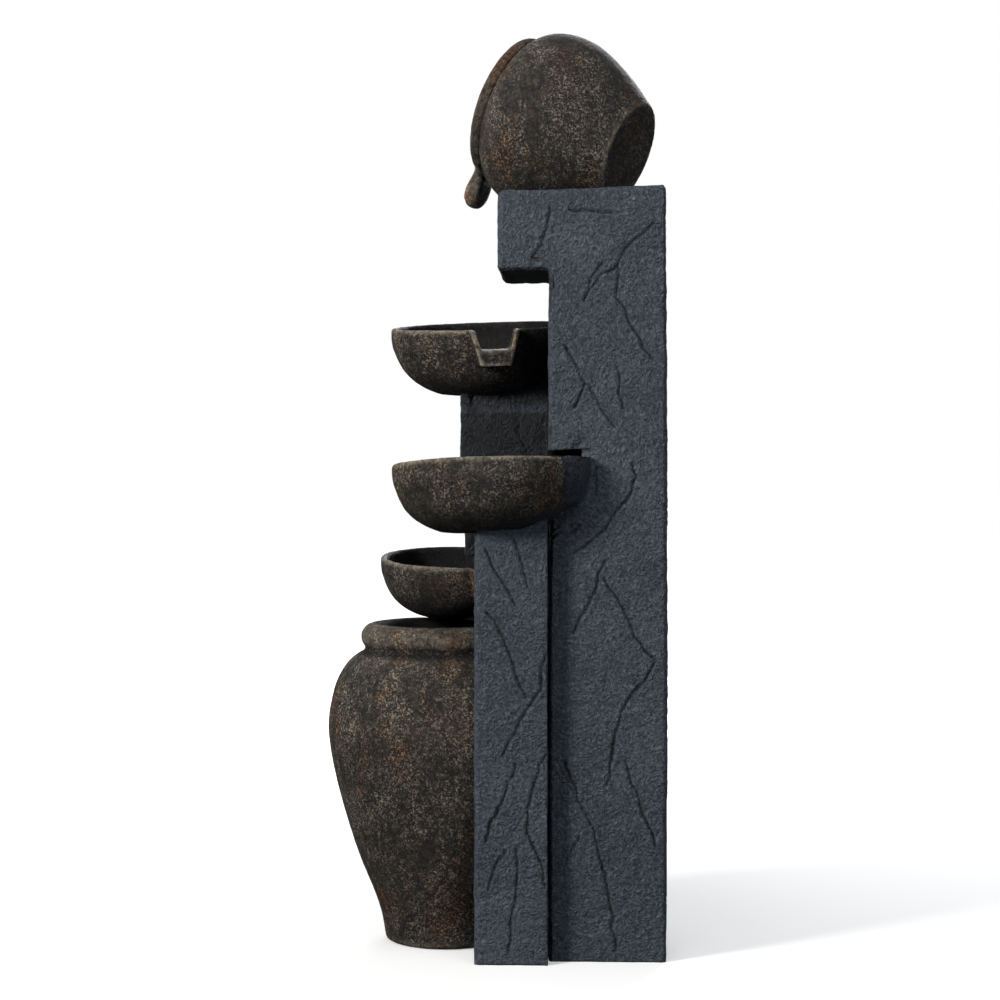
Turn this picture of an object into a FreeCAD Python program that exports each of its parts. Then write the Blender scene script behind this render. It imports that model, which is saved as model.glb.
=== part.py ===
import FreeCAD, Part
import os
from math import cos, sin, tan, radians, pi
from FreeCAD import Vector

# Cascading garden fountain: a jug on a slate-look tower pours through three
# spouted bowls into an urn. Millimetres, +Z up, -Y is the front, +X the right
# as one faces the front. The origin lies on the ground at the middle of the
# overall box. Heights are stacked: the urn carries the steps of the cascade.

# ---------------------------------------------------------------- driving sizes
CLEAR = 0.4            # gap round each cast piece that is let into another
WALL = 7.0             # cast wall of the pillars and pots
EDGE = 6.0             # worn rounding of the pillars' outer edges
URN_RIM_Z = 337.0      # centre of the urn's rolled rim
LOWER_RISE, MIDDLE_RISE, UPPER_RISE = 85.0, 109.0, 155.5   # each bowl's rim above the one below
HEAD_RISE, HEAD_H = 47.5, 93.0     # head's underside above the top rim, and its height
TOP_FALL, TOP_THICK = 6.4, 29.0    # the top's fall to the front, its thickness at the back

# tower: a hollow column with a head that overhangs to the front
TOWER_RIGHT, TOWER_W = 110.0, 186.0
TOWER_FRONT, TOWER_D = 59.0, 127.6
HEAD_REACH = 54.0

# side pillars, both stood against the tower's front and lapping its sides
RIGHT_W, RIGHT_LAP = 79.0, 60.0
RIGHT_D, RIGHT_UNDER_RIM, RIGHT_FALL = 78.5, 71.0, 7.0
LEFT_W, LEFT_LAP = 127.0, 54.0
LEFT_D, LEFT_LEDGE = 95.5, 5.0
LEFT_UNDER_RIM, LEFT_STEP_DROP, LEFT_STEP_H = 74.5, 112.0, 20.0

# bowls: radius, depth, and how far each rim reaches past the tower's front
BIG_R, BIG_DEPTH, BIG_BACK = 110.0, 77.0, 38.0
MIDDLE_R, MIDDLE_DEPTH, MIDDLE_BACK = 103.6, 74.0, 38.6
SMALL_R, SMALL_DEPTH, SMALL_BACK = 86.0, 65.0, -21.0
UPPER_IN, MIDDLE_IN, LOWER_IN = 72.6, 32.8, 79.0   # centre from its pillar's left side
BOWL_BASE = 0.5        # flat foot as a share of the bowl's radius
BIG_SPOUT = dict(top=56.0, bottom=34.0, height=40.0, reach=20.0, lip=22.0)
SMALL_SPOUT = dict(top=42.0, bottom=26.0, height=32.0, reach=16.0, lip=18.0)
SPOUT_WALL = 6.0
NICHE = 8.0            # head room cut in the pillars above a bowl's rim
COLLAR, COLLAR_BACK = 10.5, 11.0   # slate band that grips the middle bowl beside the tower

# urn
URN_X, URN_Y = -9.0, -55.0
URN_FLOOR = 10.0
URN_RIM_R, URN_RIM_TUBE = 81.0, 15.0
URN_SIDE = [(71, 20), (77, 42), (86, 64.6), (95, 87), (110, 131.5), (122.7, 176), (130.5, 221),
            (131.6, 248.5), (129, 265), (122.7, 288), (109, 310), (90, 322)]
URN_SIDE_H = 337.0     # rim height that the side was drawn for
URN_FOOT_R, URN_FOOT_EDGE, URN_FOOT_H = 64.0, 69.0, 6.0

# jug, lying tipped on the tower: its axis points out of the mouth
JUG_UP, JUG_BACK = 76.0, 4.5       # belly's centre above the top and behind the tower's front
JUG_TURN, JUG_RISE = 23.0, 22.0
JUG_SIDE = [(79, 0), (96, 22), (99.5, 44), (97, 64), (89, 86), (75, 113), (56, 144)]
JUG_BELLY_S = 46.0     # from the neck groove back to the belly's centre
LIP_R, LIP_HOLE_R, LIP_THICK = 80.5, 64.0, 12.0
TONGUE_W, TONGUE_T, TONGUE_REACH = 35.0, 9.5, 38.0
TONGUE_ROOT = 3.0      # how far the tongue is let into the lip
TROUGH_DEPTH = 3.0

# water line
HOSE_BORE, HOSE_WALL = 5.0, 1.5
HOSE_DROP, HOSE_IN = 47.0, 36.6    # level run below the urn's rim, upright run in from the back
HOSE_BEND = 66.0
HOSE_LEAN = (198.0, 78.0)          # start and end of the slant, below the top's underside
INLET_OFF = (1.0, 20.5)            # inlet from the jug's belly centre
INLET_PAD = 5.0                    # pad's face below the top
THREAD_R, FLANGE_R, NUT_R, NUT_H = 8.0, 14.0, 13.0, 8.0
GASKET_T, FLANGE_T = 2.0, 3.0
BARB_L = 24.0
GROMMET_WALL, GROMMET_LIP = 2.7, 3.0
CLIP_SHARES = (0.14, 0.71)         # of the hose's upright run
CLIP_W = 12.0

# pump, standing in the urn on rubber cups, its axis along Y
PUMP_Z, PUMP_BEHIND = 41.0, 1.0    # axis height, motor's face behind the urn's axis
MOTOR_W, MOTOR_L, MOTOR_H = 46.0, 40.0, 44.0
COVER_T, CHAMBER_R, CHAMBER_T = 13.0, 14.0, 9.0
ROTOR_R, ROTOR_L, CAN_GAP = 8.5, 24.0, 1.0
IMPELLER_R, IMPELLER_T, BLADES = 12.0, 6.0, 6
SHAFT_R, SHAFT_PLAY, SHAFT_SEAT = 1.2, 0.05, 7.0
SPIGOT_L, SPIGOT_WALL = 28.0, 1.4
STRAINER_L, STRAINER_WALL = 22.0, 2.0
SLOT_PITCH, SLOT_H = 6.5, 2.4
DIAL_R, DIAL_T, DIAL_STEM_R, DIAL_GRIP = 11.0, 3.0, 3.0, 5.0
PORT_R, PORT_PITCH_R = 2.5, 7.0
CUP_R, CUP_STEM_R = 8.0, 2.5
CUP_PITCH_X, CUP_PITCH_Y = 30.0, 24.0

# rear service opening, its door and the cord's grommet
DOOR_W, DOOR_Z = 94.0, (70.0, 210.0)
DOOR_T, DOOR_LAP, DOOR_PLAY, SEAL_T = 3.0, 8.0, 0.5, 2.0
DOOR_FRAME = (14.0, 4.0)           # stiffening frame round the opening: width, thickness
PULL_W, PULL_H = 36.0, 8.0
CORD_Z, CORD_BORE, CORD_GROMMET_R = 36.0, 4.0, 8.0

# drain plug in the urn's floor
PLUG_X, PLUG_R, PLUG_HEAD_R = 32.0, 8.0, 11.0

# fasteners
BOLT_R, BOLT_HEAD_R, BOLT_HEAD_T = 3.0, 6.0, 4.0
HOLE_R = 3.3
NUT_AF, BOLT_NUT_T, WASHER_R, WASHER_T = 10.0, 5.0, 9.0, 1.5
BOSS_R, BOSS_DROP = 13.0, 16.0
SPACER_R = 8.0
RIGHT_BOLT_IN = 38.0               # from the right pillar's left side
LEFT_BOLT_IN, LOWER_BOLT_IN = 28.0, 20.0   # from the tower's left side
LOWER_BOLT_DROP = 14.0             # below the lower bowl's rim
# offset of each vertical bolt from its bowl's axis, in the bowl's own frame
UPPER_BOLT = (0.0, 12.0)
MIDDLE_BOLT = (-12.0, -18.0)

# ---------------------------------------------------------------- derived places
LOWER_Z = URN_RIM_Z + LOWER_RISE
MIDDLE_Z = LOWER_Z + MIDDLE_RISE
UPPER_Z = MIDDLE_Z + UPPER_RISE
HEAD_Z = UPPER_Z + HEAD_RISE
TOP_BACK_Z = HEAD_Z + HEAD_H
TOP_FRONT_Z, TOP_UNDER_Z = TOP_BACK_Z - TOP_FALL, TOP_BACK_Z - TOP_THICK
TOWER_X = (TOWER_RIGHT - TOWER_W, TOWER_RIGHT)
TOWER_MID = TOWER_RIGHT - TOWER_W / 2
RIGHT_X = (TOWER_X[1] - RIGHT_LAP, TOWER_X[1] - RIGHT_LAP + RIGHT_W)
LEFT_X = (TOWER_X[0] + LEFT_LAP - LEFT_W, TOWER_X[0] + LEFT_LAP)
TOWER_BACK, HEAD_FRONT = TOWER_FRONT + TOWER_D, TOWER_FRONT - HEAD_REACH
RIGHT_FRONT = TOWER_FRONT - RIGHT_D
RIGHT_TOP_BACK_Z = MIDDLE_Z - RIGHT_UNDER_RIM
RIGHT_TOP_FRONT_Z = RIGHT_TOP_BACK_Z - RIGHT_FALL
LEFT_FRONT, LEFT_UPPER_FRONT = TOWER_FRONT - LEFT_D, TOWER_FRONT - LEFT_D - LEFT_LEDGE
LEFT_TOP_Z = UPPER_Z - LEFT_UNDER_RIM
LEFT_STEP_Z = LEFT_TOP_Z - LEFT_STEP_DROP
# centre of the rim, radius, depth, tilts about Y and X, spout heading
UPPER = dict(at=(LEFT_X[0] + UPPER_IN, TOWER_FRONT + BIG_BACK - BIG_R, UPPER_Z), r=BIG_R, depth=BIG_DEPTH,
             tilt_y=5.4, tilt_x=1.5, spout=6.0)
MIDDLE = dict(at=(RIGHT_X[0] + MIDDLE_IN, TOWER_FRONT + MIDDLE_BACK - MIDDLE_R, MIDDLE_Z), r=MIDDLE_R,
              depth=MIDDLE_DEPTH, tilt_y=-4.0, tilt_x=2.0, spout=215.0)
LOWER = dict(at=(LEFT_X[0] + LOWER_IN, TOWER_FRONT + SMALL_BACK - SMALL_R, LOWER_Z), r=SMALL_R,
             depth=SMALL_DEPTH, tilt_y=5.8, tilt_x=-1.0, spout=26.0)
JUG_AT = Vector(TOWER_MID, TOWER_FRONT + JUG_BACK, TOP_BACK_Z + JUG_UP)
INLET_X, INLET_Y = JUG_AT.x + INLET_OFF[0], JUG_AT.y + INLET_OFF[1]
INLET_PAD_Z = TOP_BACK_Z - INLET_PAD
HOSE_R = HOSE_BORE + HOSE_WALL
HOSE_Z, HOSE_Y = URN_RIM_Z - HOSE_DROP, TOWER_BACK - HOSE_IN
SPIGOT_R = HOSE_BORE - 0.1
GROMMET_R = HOSE_R + GROMMET_WALL
PUMP_X, PUMP_FACE_Y = URN_X, URN_Y + PUMP_BEHIND
DOOR_X = (TOWER_MID - DOOR_W / 2, TOWER_MID + DOOR_W / 2)
SEAL_Y = TOWER_BACK - DOOR_T - SEAL_T
DOOR_Y = SEAL_Y + SEAL_T
CORD_X = TOWER_MID
RIGHT_BOLTS = [(RIGHT_X[0] + RIGHT_BOLT_IN, z) for z in (60.0, RIGHT_TOP_BACK_Z - 55.0)]
LEFT_BOLTS = [(TOWER_X[0] + LEFT_BOLT_IN, LEFT_TOP_Z - drop) for drop in (157.0, 37.0)]
LOWER_BOLT_X, LOWER_BOLT_Z = TOWER_X[0] + LOWER_BOLT_IN, LOWER_Z - LOWER_BOLT_DROP
FOOT_BOLTS = [(UPPER, UPPER_BOLT), (MIDDLE, MIDDLE_BOLT)]

X, Y, Z = Vector(1, 0, 0), Vector(0, 1, 0), Vector(0, 0, 1)
FAR = 1000.0           # reach of cutting blocks, well past any piece


# ---------------------------------------------------------------- shape helpers
def block(x, y, z):
    return Part.makeBox(x[1] - x[0], y[1] - y[0], z[1] - z[0], Vector(x[0], y[0], z[0]))


def rod(r, start, axis, length):
    return Part.makeCylinder(r, length, start, axis)


def ring(outer, inner, start, axis, length):
    return rod(outer, start, axis, length).cut(rod(inner, start - axis, axis, length + 2))


def side_prism(points, x):
    """A solid with the given (y, z) outline, from x[0] to x[1]."""
    corners = [Vector(x[0], y, z) for y, z in points]
    face = Part.Face(Part.makePolygon(corners + corners[:1]))
    return face.extrude(Vector(x[1] - x[0], 0, 0))


def curve(points):
    spline = Part.BSplineCurve()
    spline.interpolate([Vector(r, 0, z) for r, z in points])
    return spline.toShape()


def line(a, b):
    return Part.makeLine(Vector(a[0], 0, a[1]), Vector(b[0], 0, b[1]))


def turned(edges):
    """A solid of revolution about Z from edges in the XZ plane, in order."""
    return Part.Face(Part.Wire(edges)).revolve(Vector(), Z, 360)


def hexagon(af, start, axis, length):
    across = af / cos(pi / 6) / 2
    side = X if abs(axis.dot(X)) < 0.9 else Y
    u = side.cross(axis).normalize()
    v = axis.cross(u)
    corners = [start + u * (across * cos(k * pi / 3)) + v * (across * sin(k * pi / 3)) for k in range(6)]
    return Part.Face(Part.makePolygon(corners + corners[:1])).extrude(axis * length)


def round_edges(shape, radius, keep):
    """Round the straight edges whose middle passes the keep test."""
    chosen = [e for e in shape.Edges if keep(e.CenterOfMass)]
    return shape.makeFillet(radius, chosen)


# ---------------------------------------------------------------- bowls
BOWL_CURVE = [(1.0, 0.12), (0.991, 0.25), (0.955, 0.416), (0.873, 0.65), (0.73, 0.845)]


def bowl_points(r, depth):
    points = [(r * a, -depth * b) for a, b in BOWL_CURVE]
    return points + [(r * BOWL_BASE, -depth)]


def bowl_form(r, depth, above=0.0):
    """The solid that a bowl's outside bounds, standing on past its rim by above."""
    points = bowl_points(r, depth)
    edges = [line((0, above), (r, above)), line((r, above), points[0]), curve(points),
             line(points[-1], (0, -depth)), line((0, -depth), (0, above))]
    return turned(edges)


def bowl_shell(r, depth, wall):
    outer, inner = bowl_points(r, depth), bowl_points(r - wall, depth - wall)
    roll = Part.Arc(Vector(r, 0, -wall / 2), Vector(r - wall / 2, 0, 0), Vector(r - wall, 0, -wall / 2))
    edges = [line((0, -depth), outer[-1]), curve(outer), line(outer[0], (r, -wall / 2)), roll.toShape(),
             line((r - wall, -wall / 2), inner[0]), curve(inner),
             line(inner[-1], (0, wall - depth)), line((0, wall - depth), (0, -depth))]
    return turned(edges)


def channel(top, bottom, height, x, rise=0.0):
    """A trapezoid prism along X, widest at the rim's height and standing on by rise."""
    spread = (top - bottom) / 2 / height * rise
    half = top / 2 + spread
    return side_prism([(-bottom / 2, -height), (bottom / 2, -height), (half, rise), (-half, rise)], x)


def seat(shape, bowl):
    """Turn a shape from a bowl's own frame to its place on the fountain."""
    placed = shape.copy()
    placed.rotate(Vector(), Z, bowl["spout"])
    placed.rotate(Vector(), Y, bowl["tilt_y"])
    placed.rotate(Vector(), X, bowl["tilt_x"])
    placed.translate(Vector(*bowl["at"]))
    return placed


def make_bowl(bowl, spout):
    r, depth = bowl["r"], bowl["depth"]
    outer_x = (r - 3 * WALL, r + spout["reach"])
    body = channel(spout["top"], spout["bottom"], spout["height"], outer_x)
    front = [e for e in body.Edges if e.CenterOfMass.x > r and abs(e.CenterOfMass.y) > 1]
    body = body.makeFillet(SPOUT_WALL / 3, front)
    shell = bowl_shell(r, depth, WALL).fuse(body.cut(bowl_form(r - WALL, depth - WALL, WALL)))
    gully_top = spout["top"] - 2 * SPOUT_WALL
    gully_bottom = gully_top - (spout["top"] - spout["bottom"]) * spout["lip"] / spout["height"]
    gully = channel(gully_top, gully_bottom, spout["lip"], (0, r + FAR), WALL)
    return seat(shell.cut(gully).removeSplitter(), bowl)


def bowl_room(bowl, spout, above):
    """What a bowl takes out of the pillars: its outside grown by the clearance."""
    r, depth = bowl["r"] + CLEAR, bowl["depth"] + CLEAR
    x = (r - 3 * WALL, bowl["r"] + spout["reach"] + CLEAR)
    snout = channel(spout["top"] + 2 * CLEAR, spout["bottom"] + 2 * CLEAR, spout["height"] + CLEAR, x, above)
    return seat(bowl_form(r, depth, above).fuse(snout), bowl)


# ---------------------------------------------------------------- urn
def urn_at(shape):
    placed = shape.copy()
    placed.translate(Vector(URN_X, URN_Y, 0))
    return placed


def urn_side(grow):
    """The urn's profile above its foot, stretched to the height of its rim."""
    return [(r + grow, z * URN_RIM_Z / URN_SIDE_H) for r, z in URN_SIDE]


def urn_form(grow):
    side = urn_side(grow)
    edge = URN_FOOT_EDGE + grow
    round_in = (edge - URN_FOOT_R - grow) * 0.3
    foot = Part.Arc(Vector(URN_FOOT_R + grow, 0, 0), Vector(edge - round_in, 0, URN_FOOT_H * 0.3),
                    Vector(edge, 0, URN_FOOT_H))
    neck = side[-1][0]
    edges = [line((0, 0), (URN_FOOT_R + grow, 0)), foot.toShape(),
             line((edge, URN_FOOT_H), side[0]), curve(side),
             line(side[-1], (neck, URN_RIM_Z)), line((neck, URN_RIM_Z), (0, URN_RIM_Z)),
             line((0, URN_RIM_Z), (0, 0))]
    rim = Part.makeTorus(URN_RIM_R, URN_RIM_TUBE + grow, Vector(0, 0, URN_RIM_Z))
    return turned(edges).fuse(rim)


def urn_room():
    """What the urn takes out of the pillars, with its mouth kept open above it."""
    mouth = rod(URN_RIM_R, Vector(0, 0, URN_RIM_Z - 1), Z, URN_RIM_TUBE + CLEAR + 1)
    return urn_at(urn_form(CLEAR).fuse(mouth))


def make_urn():
    mouth = URN_RIM_R - URN_RIM_TUBE + 0.5
    thick = WALL + 1
    inner = [(URN_FOOT_EDGE - thick, URN_FLOOR)] + urn_side(-thick)[1:-1]
    inner = inner + [(mouth + 12, URN_RIM_Z - URN_RIM_TUBE + 1)]
    throat = URN_RIM_Z - 6
    edges = [line((0, URN_FLOOR), inner[0]), curve(inner), line(inner[-1], (mouth, throat)),
             line((mouth, throat), (mouth, FAR)), line((mouth, FAR), (0, FAR)),
             line((0, FAR), (0, URN_FLOOR))]
    urn = urn_at(urn_form(0).cut(turned(edges)))
    hose_way = rod(GROMMET_R, Vector(URN_X, 0, HOSE_Z), Y, FAR)
    drain = rod(PLUG_R + 0.2, Vector(PLUG_X, URN_Y, -1), Z, URN_FLOOR + 2)
    return urn.cut(hose_way).cut(drain)


# ---------------------------------------------------------------- jug
JUG_AXIS = Vector(-sin(radians(JUG_TURN)) * cos(radians(JUG_RISE)),
                  -cos(radians(JUG_TURN)) * cos(radians(JUG_RISE)), sin(radians(JUG_RISE)))


def lay(shape):
    """Tip a shape from the jug's upright frame (neck groove at 0, base at -Z)."""
    placed = shape.copy()
    placed.translate(Vector(0, 0, JUG_BELLY_S))
    placed.rotate(Vector(), X, 90 - JUG_RISE)
    placed.rotate(Vector(), Z, -JUG_TURN)
    placed.translate(JUG_AT)
    return placed


def jug_form(grow):
    side = [(r + grow, -s) for r, s in JUG_SIDE]
    base = side[-1][1] - grow
    edges = [line((0, 0), side[0]), curve(side), line(side[-1], (side[-1][0] - 2, base)),
             line((side[-1][0] - 2, base), (0, base)), line((0, base), (0, 0))]
    return turned(edges)


def make_jug():
    inner = [(r - WALL, -s) for r, s in JUG_SIDE[:-1]]
    base = WALL - JUG_SIDE[-1][1]
    inner = inner + [(JUG_SIDE[-1][0] - WALL + 4, base)]
    neck = (inner[0][0], 1.0)
    hollow = turned([line((0, 1.0), neck), line(neck, inner[0]), curve(inner),
                     line(inner[-1], (0, base)), line((0, base), (0, 1.0))])
    pad = rod(FLANGE_R + 3, Vector(INLET_X, INLET_Y, TOP_UNDER_Z), Z, INLET_PAD_Z - TOP_UNDER_Z)
    outside = lay(jug_form(0))
    body = outside.cut(lay(hollow)).fuse(pad.common(outside))
    room = rod(FLANGE_R + 3, Vector(INLET_X, INLET_Y, INLET_PAD_Z), Z, 4 * WALL)
    room = room.common(lay(hollow))
    return body.cut(room).cut(inlet_hole())


def inlet_hole():
    return rod(THREAD_R + 0.3, Vector(INLET_X, INLET_Y, TOP_UNDER_Z - 1), Z, 40)


def make_jug_lip():
    half = LIP_THICK / 2
    lip = ring(LIP_R, LIP_HOLE_R, Vector(0, 0, 0), Z, LIP_THICK)
    lip = lip.makeFillet(half * 0.8, [e for e in lip.Edges if e.Curve.TypeId == "Part::GeomCircle"])
    reach = LIP_R + TONGUE_REACH
    root = LIP_THICK - TONGUE_ROOT
    tip = rod(TONGUE_W / 2, Vector(0, reach - TONGUE_W / 2, root), Z, TONGUE_T)
    slab = block((-TONGUE_W / 2, TONGUE_W / 2), (LIP_HOLE_R + 2, reach - TONGUE_W / 2), (root, root + TONGUE_T))
    tongue = slab.fuse(tip).removeSplitter()
    tongue = tongue.makeFillet(TONGUE_T * 0.35, [e for e in tongue.Edges if e.CenterOfMass.z < root + 1])
    trough_r = (TONGUE_W / 2 - 4) ** 2 / (2 * TROUGH_DEPTH) + TROUGH_DEPTH / 2
    lift = root + TONGUE_T + trough_r - TROUGH_DEPTH
    trough = rod(trough_r, Vector(0, LIP_HOLE_R, lift), Y, LIP_R)
    tongue = tongue.cut(trough)
    tongue.rotate(Vector(), Z, 180)   # -Y becomes the underside once the jug is laid down
    return lay(lip.fuse(tongue).removeSplitter())


# ---------------------------------------------------------------- pillars
def open_holes(places, y):
    holes = [rod(HOLE_R, Vector(x, y[0], z), Y, y[1] - y[0]) for x, z in places]
    return holes[0].multiFuse(holes[1:])


def back_opening():
    lap = DOOR_LAP
    hole = block(DOOR_X, (TOWER_BACK - 2 * WALL, TOWER_BACK + 1), DOOR_Z)
    rebate = block((DOOR_X[0] - lap, DOOR_X[1] + lap), (SEAL_Y, TOWER_BACK + 1),
                   (DOOR_Z[0] - lap, DOOR_Z[1] + lap))
    return hole.fuse(rebate)


def make_tower():
    outline = [(TOWER_FRONT, 0), (TOWER_BACK, 0), (TOWER_BACK, TOP_BACK_Z), (HEAD_FRONT, TOP_FRONT_Z),
               (HEAD_FRONT, HEAD_Z), (TOWER_FRONT, HEAD_Z)]
    hollow = [(TOWER_FRONT + WALL, -1), (TOWER_BACK - WALL, -1), (TOWER_BACK - WALL, TOP_UNDER_Z),
              (HEAD_FRONT + WALL, TOP_UNDER_Z), (HEAD_FRONT + WALL, HEAD_Z + WALL),
              (TOWER_FRONT + WALL, HEAD_Z + WALL)]
    shell = round_edges(side_prism(outline, TOWER_X), EDGE, lambda c: c.z > 1)
    shell = shell.cut(side_prism(hollow, (TOWER_X[0] + WALL, TOWER_X[1] - WALL)))
    border, depth = DOOR_FRAME
    inner_y = TOWER_BACK - WALL
    frame = block((DOOR_X[0] - border, DOOR_X[1] + border), (inner_y - depth, inner_y + 0.5),
                  (DOOR_Z[0] - border, DOOR_Z[1] + border))
    grown = dict(MIDDLE, r=MIDDLE["r"] + COLLAR, depth=MIDDLE["depth"] + COLLAR)
    band = seat(bowl_form(grown["r"], grown["depth"]), MIDDLE)
    outside = block((TOWER_X[1] - WALL, FAR), (TOWER_FRONT + COLLAR_BACK, TOWER_BACK), (LOWER_Z, TOP_BACK_Z))
    shell = shell.fuse([frame, band.common(outside)])
    for room in (bowl_room(UPPER, BIG_SPOUT, NICHE), bowl_room(MIDDLE, BIG_SPOUT, NICHE),
                 urn_room(), lay(jug_form(CLEAR)), inlet_hole(), back_opening()):
        shell = shell.cut(room)
    cord = rod(CORD_GROMMET_R, Vector(CORD_X, TOWER_BACK - 2 * WALL, CORD_Z), Y, FAR)
    bolt_y = (TOWER_FRONT - 1, TOWER_FRONT + WALL + 1)
    hose_way = rod(GROMMET_R + 4, Vector(URN_X, TOWER_FRONT - 1, HOSE_Z), Y, WALL + 2)
    places = RIGHT_BOLTS + LEFT_BOLTS + [(LOWER_BOLT_X, LOWER_BOLT_Z)]
    return shell.cut(cord).cut(hose_way).cut(open_holes(places, bolt_y))


def pillar(x, outline, hollow):
    shell = round_edges(side_prism(outline, x), EDGE,
                        lambda c: c.z > 1 and c.y < TOWER_FRONT - 1)
    return shell.cut(side_prism(hollow, (x[0] + WALL, x[1] - WALL)))


def boss(bowl, offset):
    """A round seat under a pillar's top, square to the bolt through a bowl's foot."""
    start = Vector(offset[0], offset[1], -bowl["depth"] - BOSS_DROP)
    return seat(rod(BOSS_R, start, Z, BOSS_DROP), bowl)


def bowl_hole(bowl, offset):
    start = Vector(offset[0], offset[1], -bowl["depth"] - BOSS_DROP - 1)
    return seat(rod(HOLE_R, start, Z, BOSS_DROP + WALL + 2), bowl)


def make_right_pillar():
    back = TOWER_FRONT
    outline = [(RIGHT_FRONT, 0), (back, 0), (back, RIGHT_TOP_BACK_Z), (RIGHT_FRONT, RIGHT_TOP_FRONT_Z)]
    under = RIGHT_TOP_FRONT_Z - WALL
    hollow = [(RIGHT_FRONT + WALL, -1), (back - WALL, -1), (back - WALL, under), (RIGHT_FRONT + WALL, under)]
    shell = pillar(RIGHT_X, outline, hollow).fuse(boss(MIDDLE, MIDDLE_BOLT))
    for room in (bowl_room(MIDDLE, BIG_SPOUT, NICHE), urn_room(),
                 bowl_room(LOWER, SMALL_SPOUT, NICHE)):
        shell = shell.cut(room)
    shell = shell.cut(bowl_hole(MIDDLE, MIDDLE_BOLT))
    return shell.cut(open_holes(RIGHT_BOLTS, (back - WALL - 1, back + 1)))


def make_left_pillar():
    back, step, top = TOWER_FRONT, LEFT_STEP_Z, LEFT_TOP_Z
    outline = [(LEFT_FRONT, 0), (back, 0), (back, top), (LEFT_UPPER_FRONT, top), (LEFT_UPPER_FRONT, step),
               (LEFT_FRONT, step - LEFT_STEP_H)]
    hollow = [(LEFT_FRONT + WALL, -1), (back - WALL, -1), (back - WALL, top - 2 * WALL),
              (LEFT_UPPER_FRONT + WALL, top - 2 * WALL), (LEFT_UPPER_FRONT + WALL, step),
              (LEFT_FRONT + WALL, step - LEFT_STEP_H)]
    shell = pillar(LEFT_X, outline, hollow).fuse(boss(UPPER, UPPER_BOLT))
    for room in (bowl_room(UPPER, BIG_SPOUT, NICHE), bowl_room(MIDDLE, BIG_SPOUT, NICHE),
                 bowl_room(LOWER, SMALL_SPOUT, NICHE), urn_room()):
        shell = shell.cut(room)
    shell = shell.cut(bowl_hole(UPPER, UPPER_BOLT))
    places = LEFT_BOLTS + [(LOWER_BOLT_X, LOWER_BOLT_Z)]
    return shell.cut(open_holes(places, (back - WALL - 1, back + 1)))


# ---------------------------------------------------------------- fasteners
def foot_bolt(bowl, offset):
    floor = WALL - bowl["depth"] + WASHER_T
    bottom = -bowl["depth"] - BOSS_DROP - WASHER_T - BOLT_NUT_T - 4
    centre = Vector(offset[0], offset[1], bottom)
    shank = rod(BOLT_R, centre, Z, floor - bottom)
    head = rod(BOLT_HEAD_R, Vector(offset[0], offset[1], floor), Z, BOLT_HEAD_T)
    head = head.makeFillet(BOLT_HEAD_T / 2, [e for e in head.Edges if e.CenterOfMass.z > floor + 1
                                             and e.Curve.TypeId == "Part::GeomCircle"])
    return seat(shank.fuse(head), bowl)


def foot_washers(bowl, offset):
    top = Vector(offset[0], offset[1], WALL - bowl["depth"])
    bottom = Vector(offset[0], offset[1], -bowl["depth"] - BOSS_DROP - WASHER_T)
    return [seat(ring(WASHER_R, HOLE_R, at, Z, WASHER_T), bowl) for at in (top, bottom)]


def foot_nut(bowl, offset):
    start = Vector(offset[0], offset[1], -bowl["depth"] - BOSS_DROP - WASHER_T - BOLT_NUT_T)
    return seat(hexagon(NUT_AF, start, Z, BOLT_NUT_T).cut(rod(BOLT_R, start - Z, Z, BOLT_NUT_T + 2)), bowl)


def wall_bolt(x, z):
    head_y = TOWER_FRONT - WALL - BOLT_HEAD_T
    shank = rod(BOLT_R, Vector(x, head_y + 1, z), Y, BOLT_HEAD_T + 2 * WALL + BOLT_NUT_T + 2)
    return shank.fuse(rod(BOLT_HEAD_R, Vector(x, head_y, z), Y, BOLT_HEAD_T))


def wall_nut(x, z):
    start = Vector(x, TOWER_FRONT + WALL, z)
    return hexagon(NUT_AF, start, Y, BOLT_NUT_T).cut(rod(BOLT_R, start - Y, Y, BOLT_NUT_T + 2))


def lower_bowl_y():
    """Where the lower bowl's inside wall is faced off flat for its bolt's head."""
    centre_x, centre_y = LOWER["at"][:2]
    inner = LOWER["r"] - WALL
    return centre_y + (inner ** 2 - (LOWER_BOLT_X - centre_x) ** 2) ** 0.5 + 1.0


def make_lower_bowl():
    face = lower_bowl_y()
    facing = rod(WASHER_R + 1, Vector(LOWER_BOLT_X, face - 4 * WALL, LOWER_BOLT_Z), Y, 4 * WALL)
    hole = rod(HOLE_R, Vector(LOWER_BOLT_X, face - 1, LOWER_BOLT_Z), Y, 4 * WALL)
    return make_bowl(LOWER, SMALL_SPOUT).cut(facing).cut(hole)


def make_lower_bolt():
    face = lower_bowl_y()
    end = TOWER_FRONT + WALL + BOLT_NUT_T + 3
    head = rod(BOLT_HEAD_R, Vector(LOWER_BOLT_X, face - BOLT_HEAD_T, LOWER_BOLT_Z), Y, BOLT_HEAD_T)
    return head.fuse(rod(BOLT_R, Vector(LOWER_BOLT_X, face - 1, LOWER_BOLT_Z), Y, end - face + 1))


def make_lower_spacer():
    start = lower_bowl_y() + 2
    tube = ring(SPACER_R, HOLE_R, Vector(LOWER_BOLT_X, start, LOWER_BOLT_Z), Y,
                TOWER_FRONT - WALL - start)
    return tube.cut(seat(bowl_form(LOWER["r"] + CLEAR / 2, LOWER["depth"]), LOWER))


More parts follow.
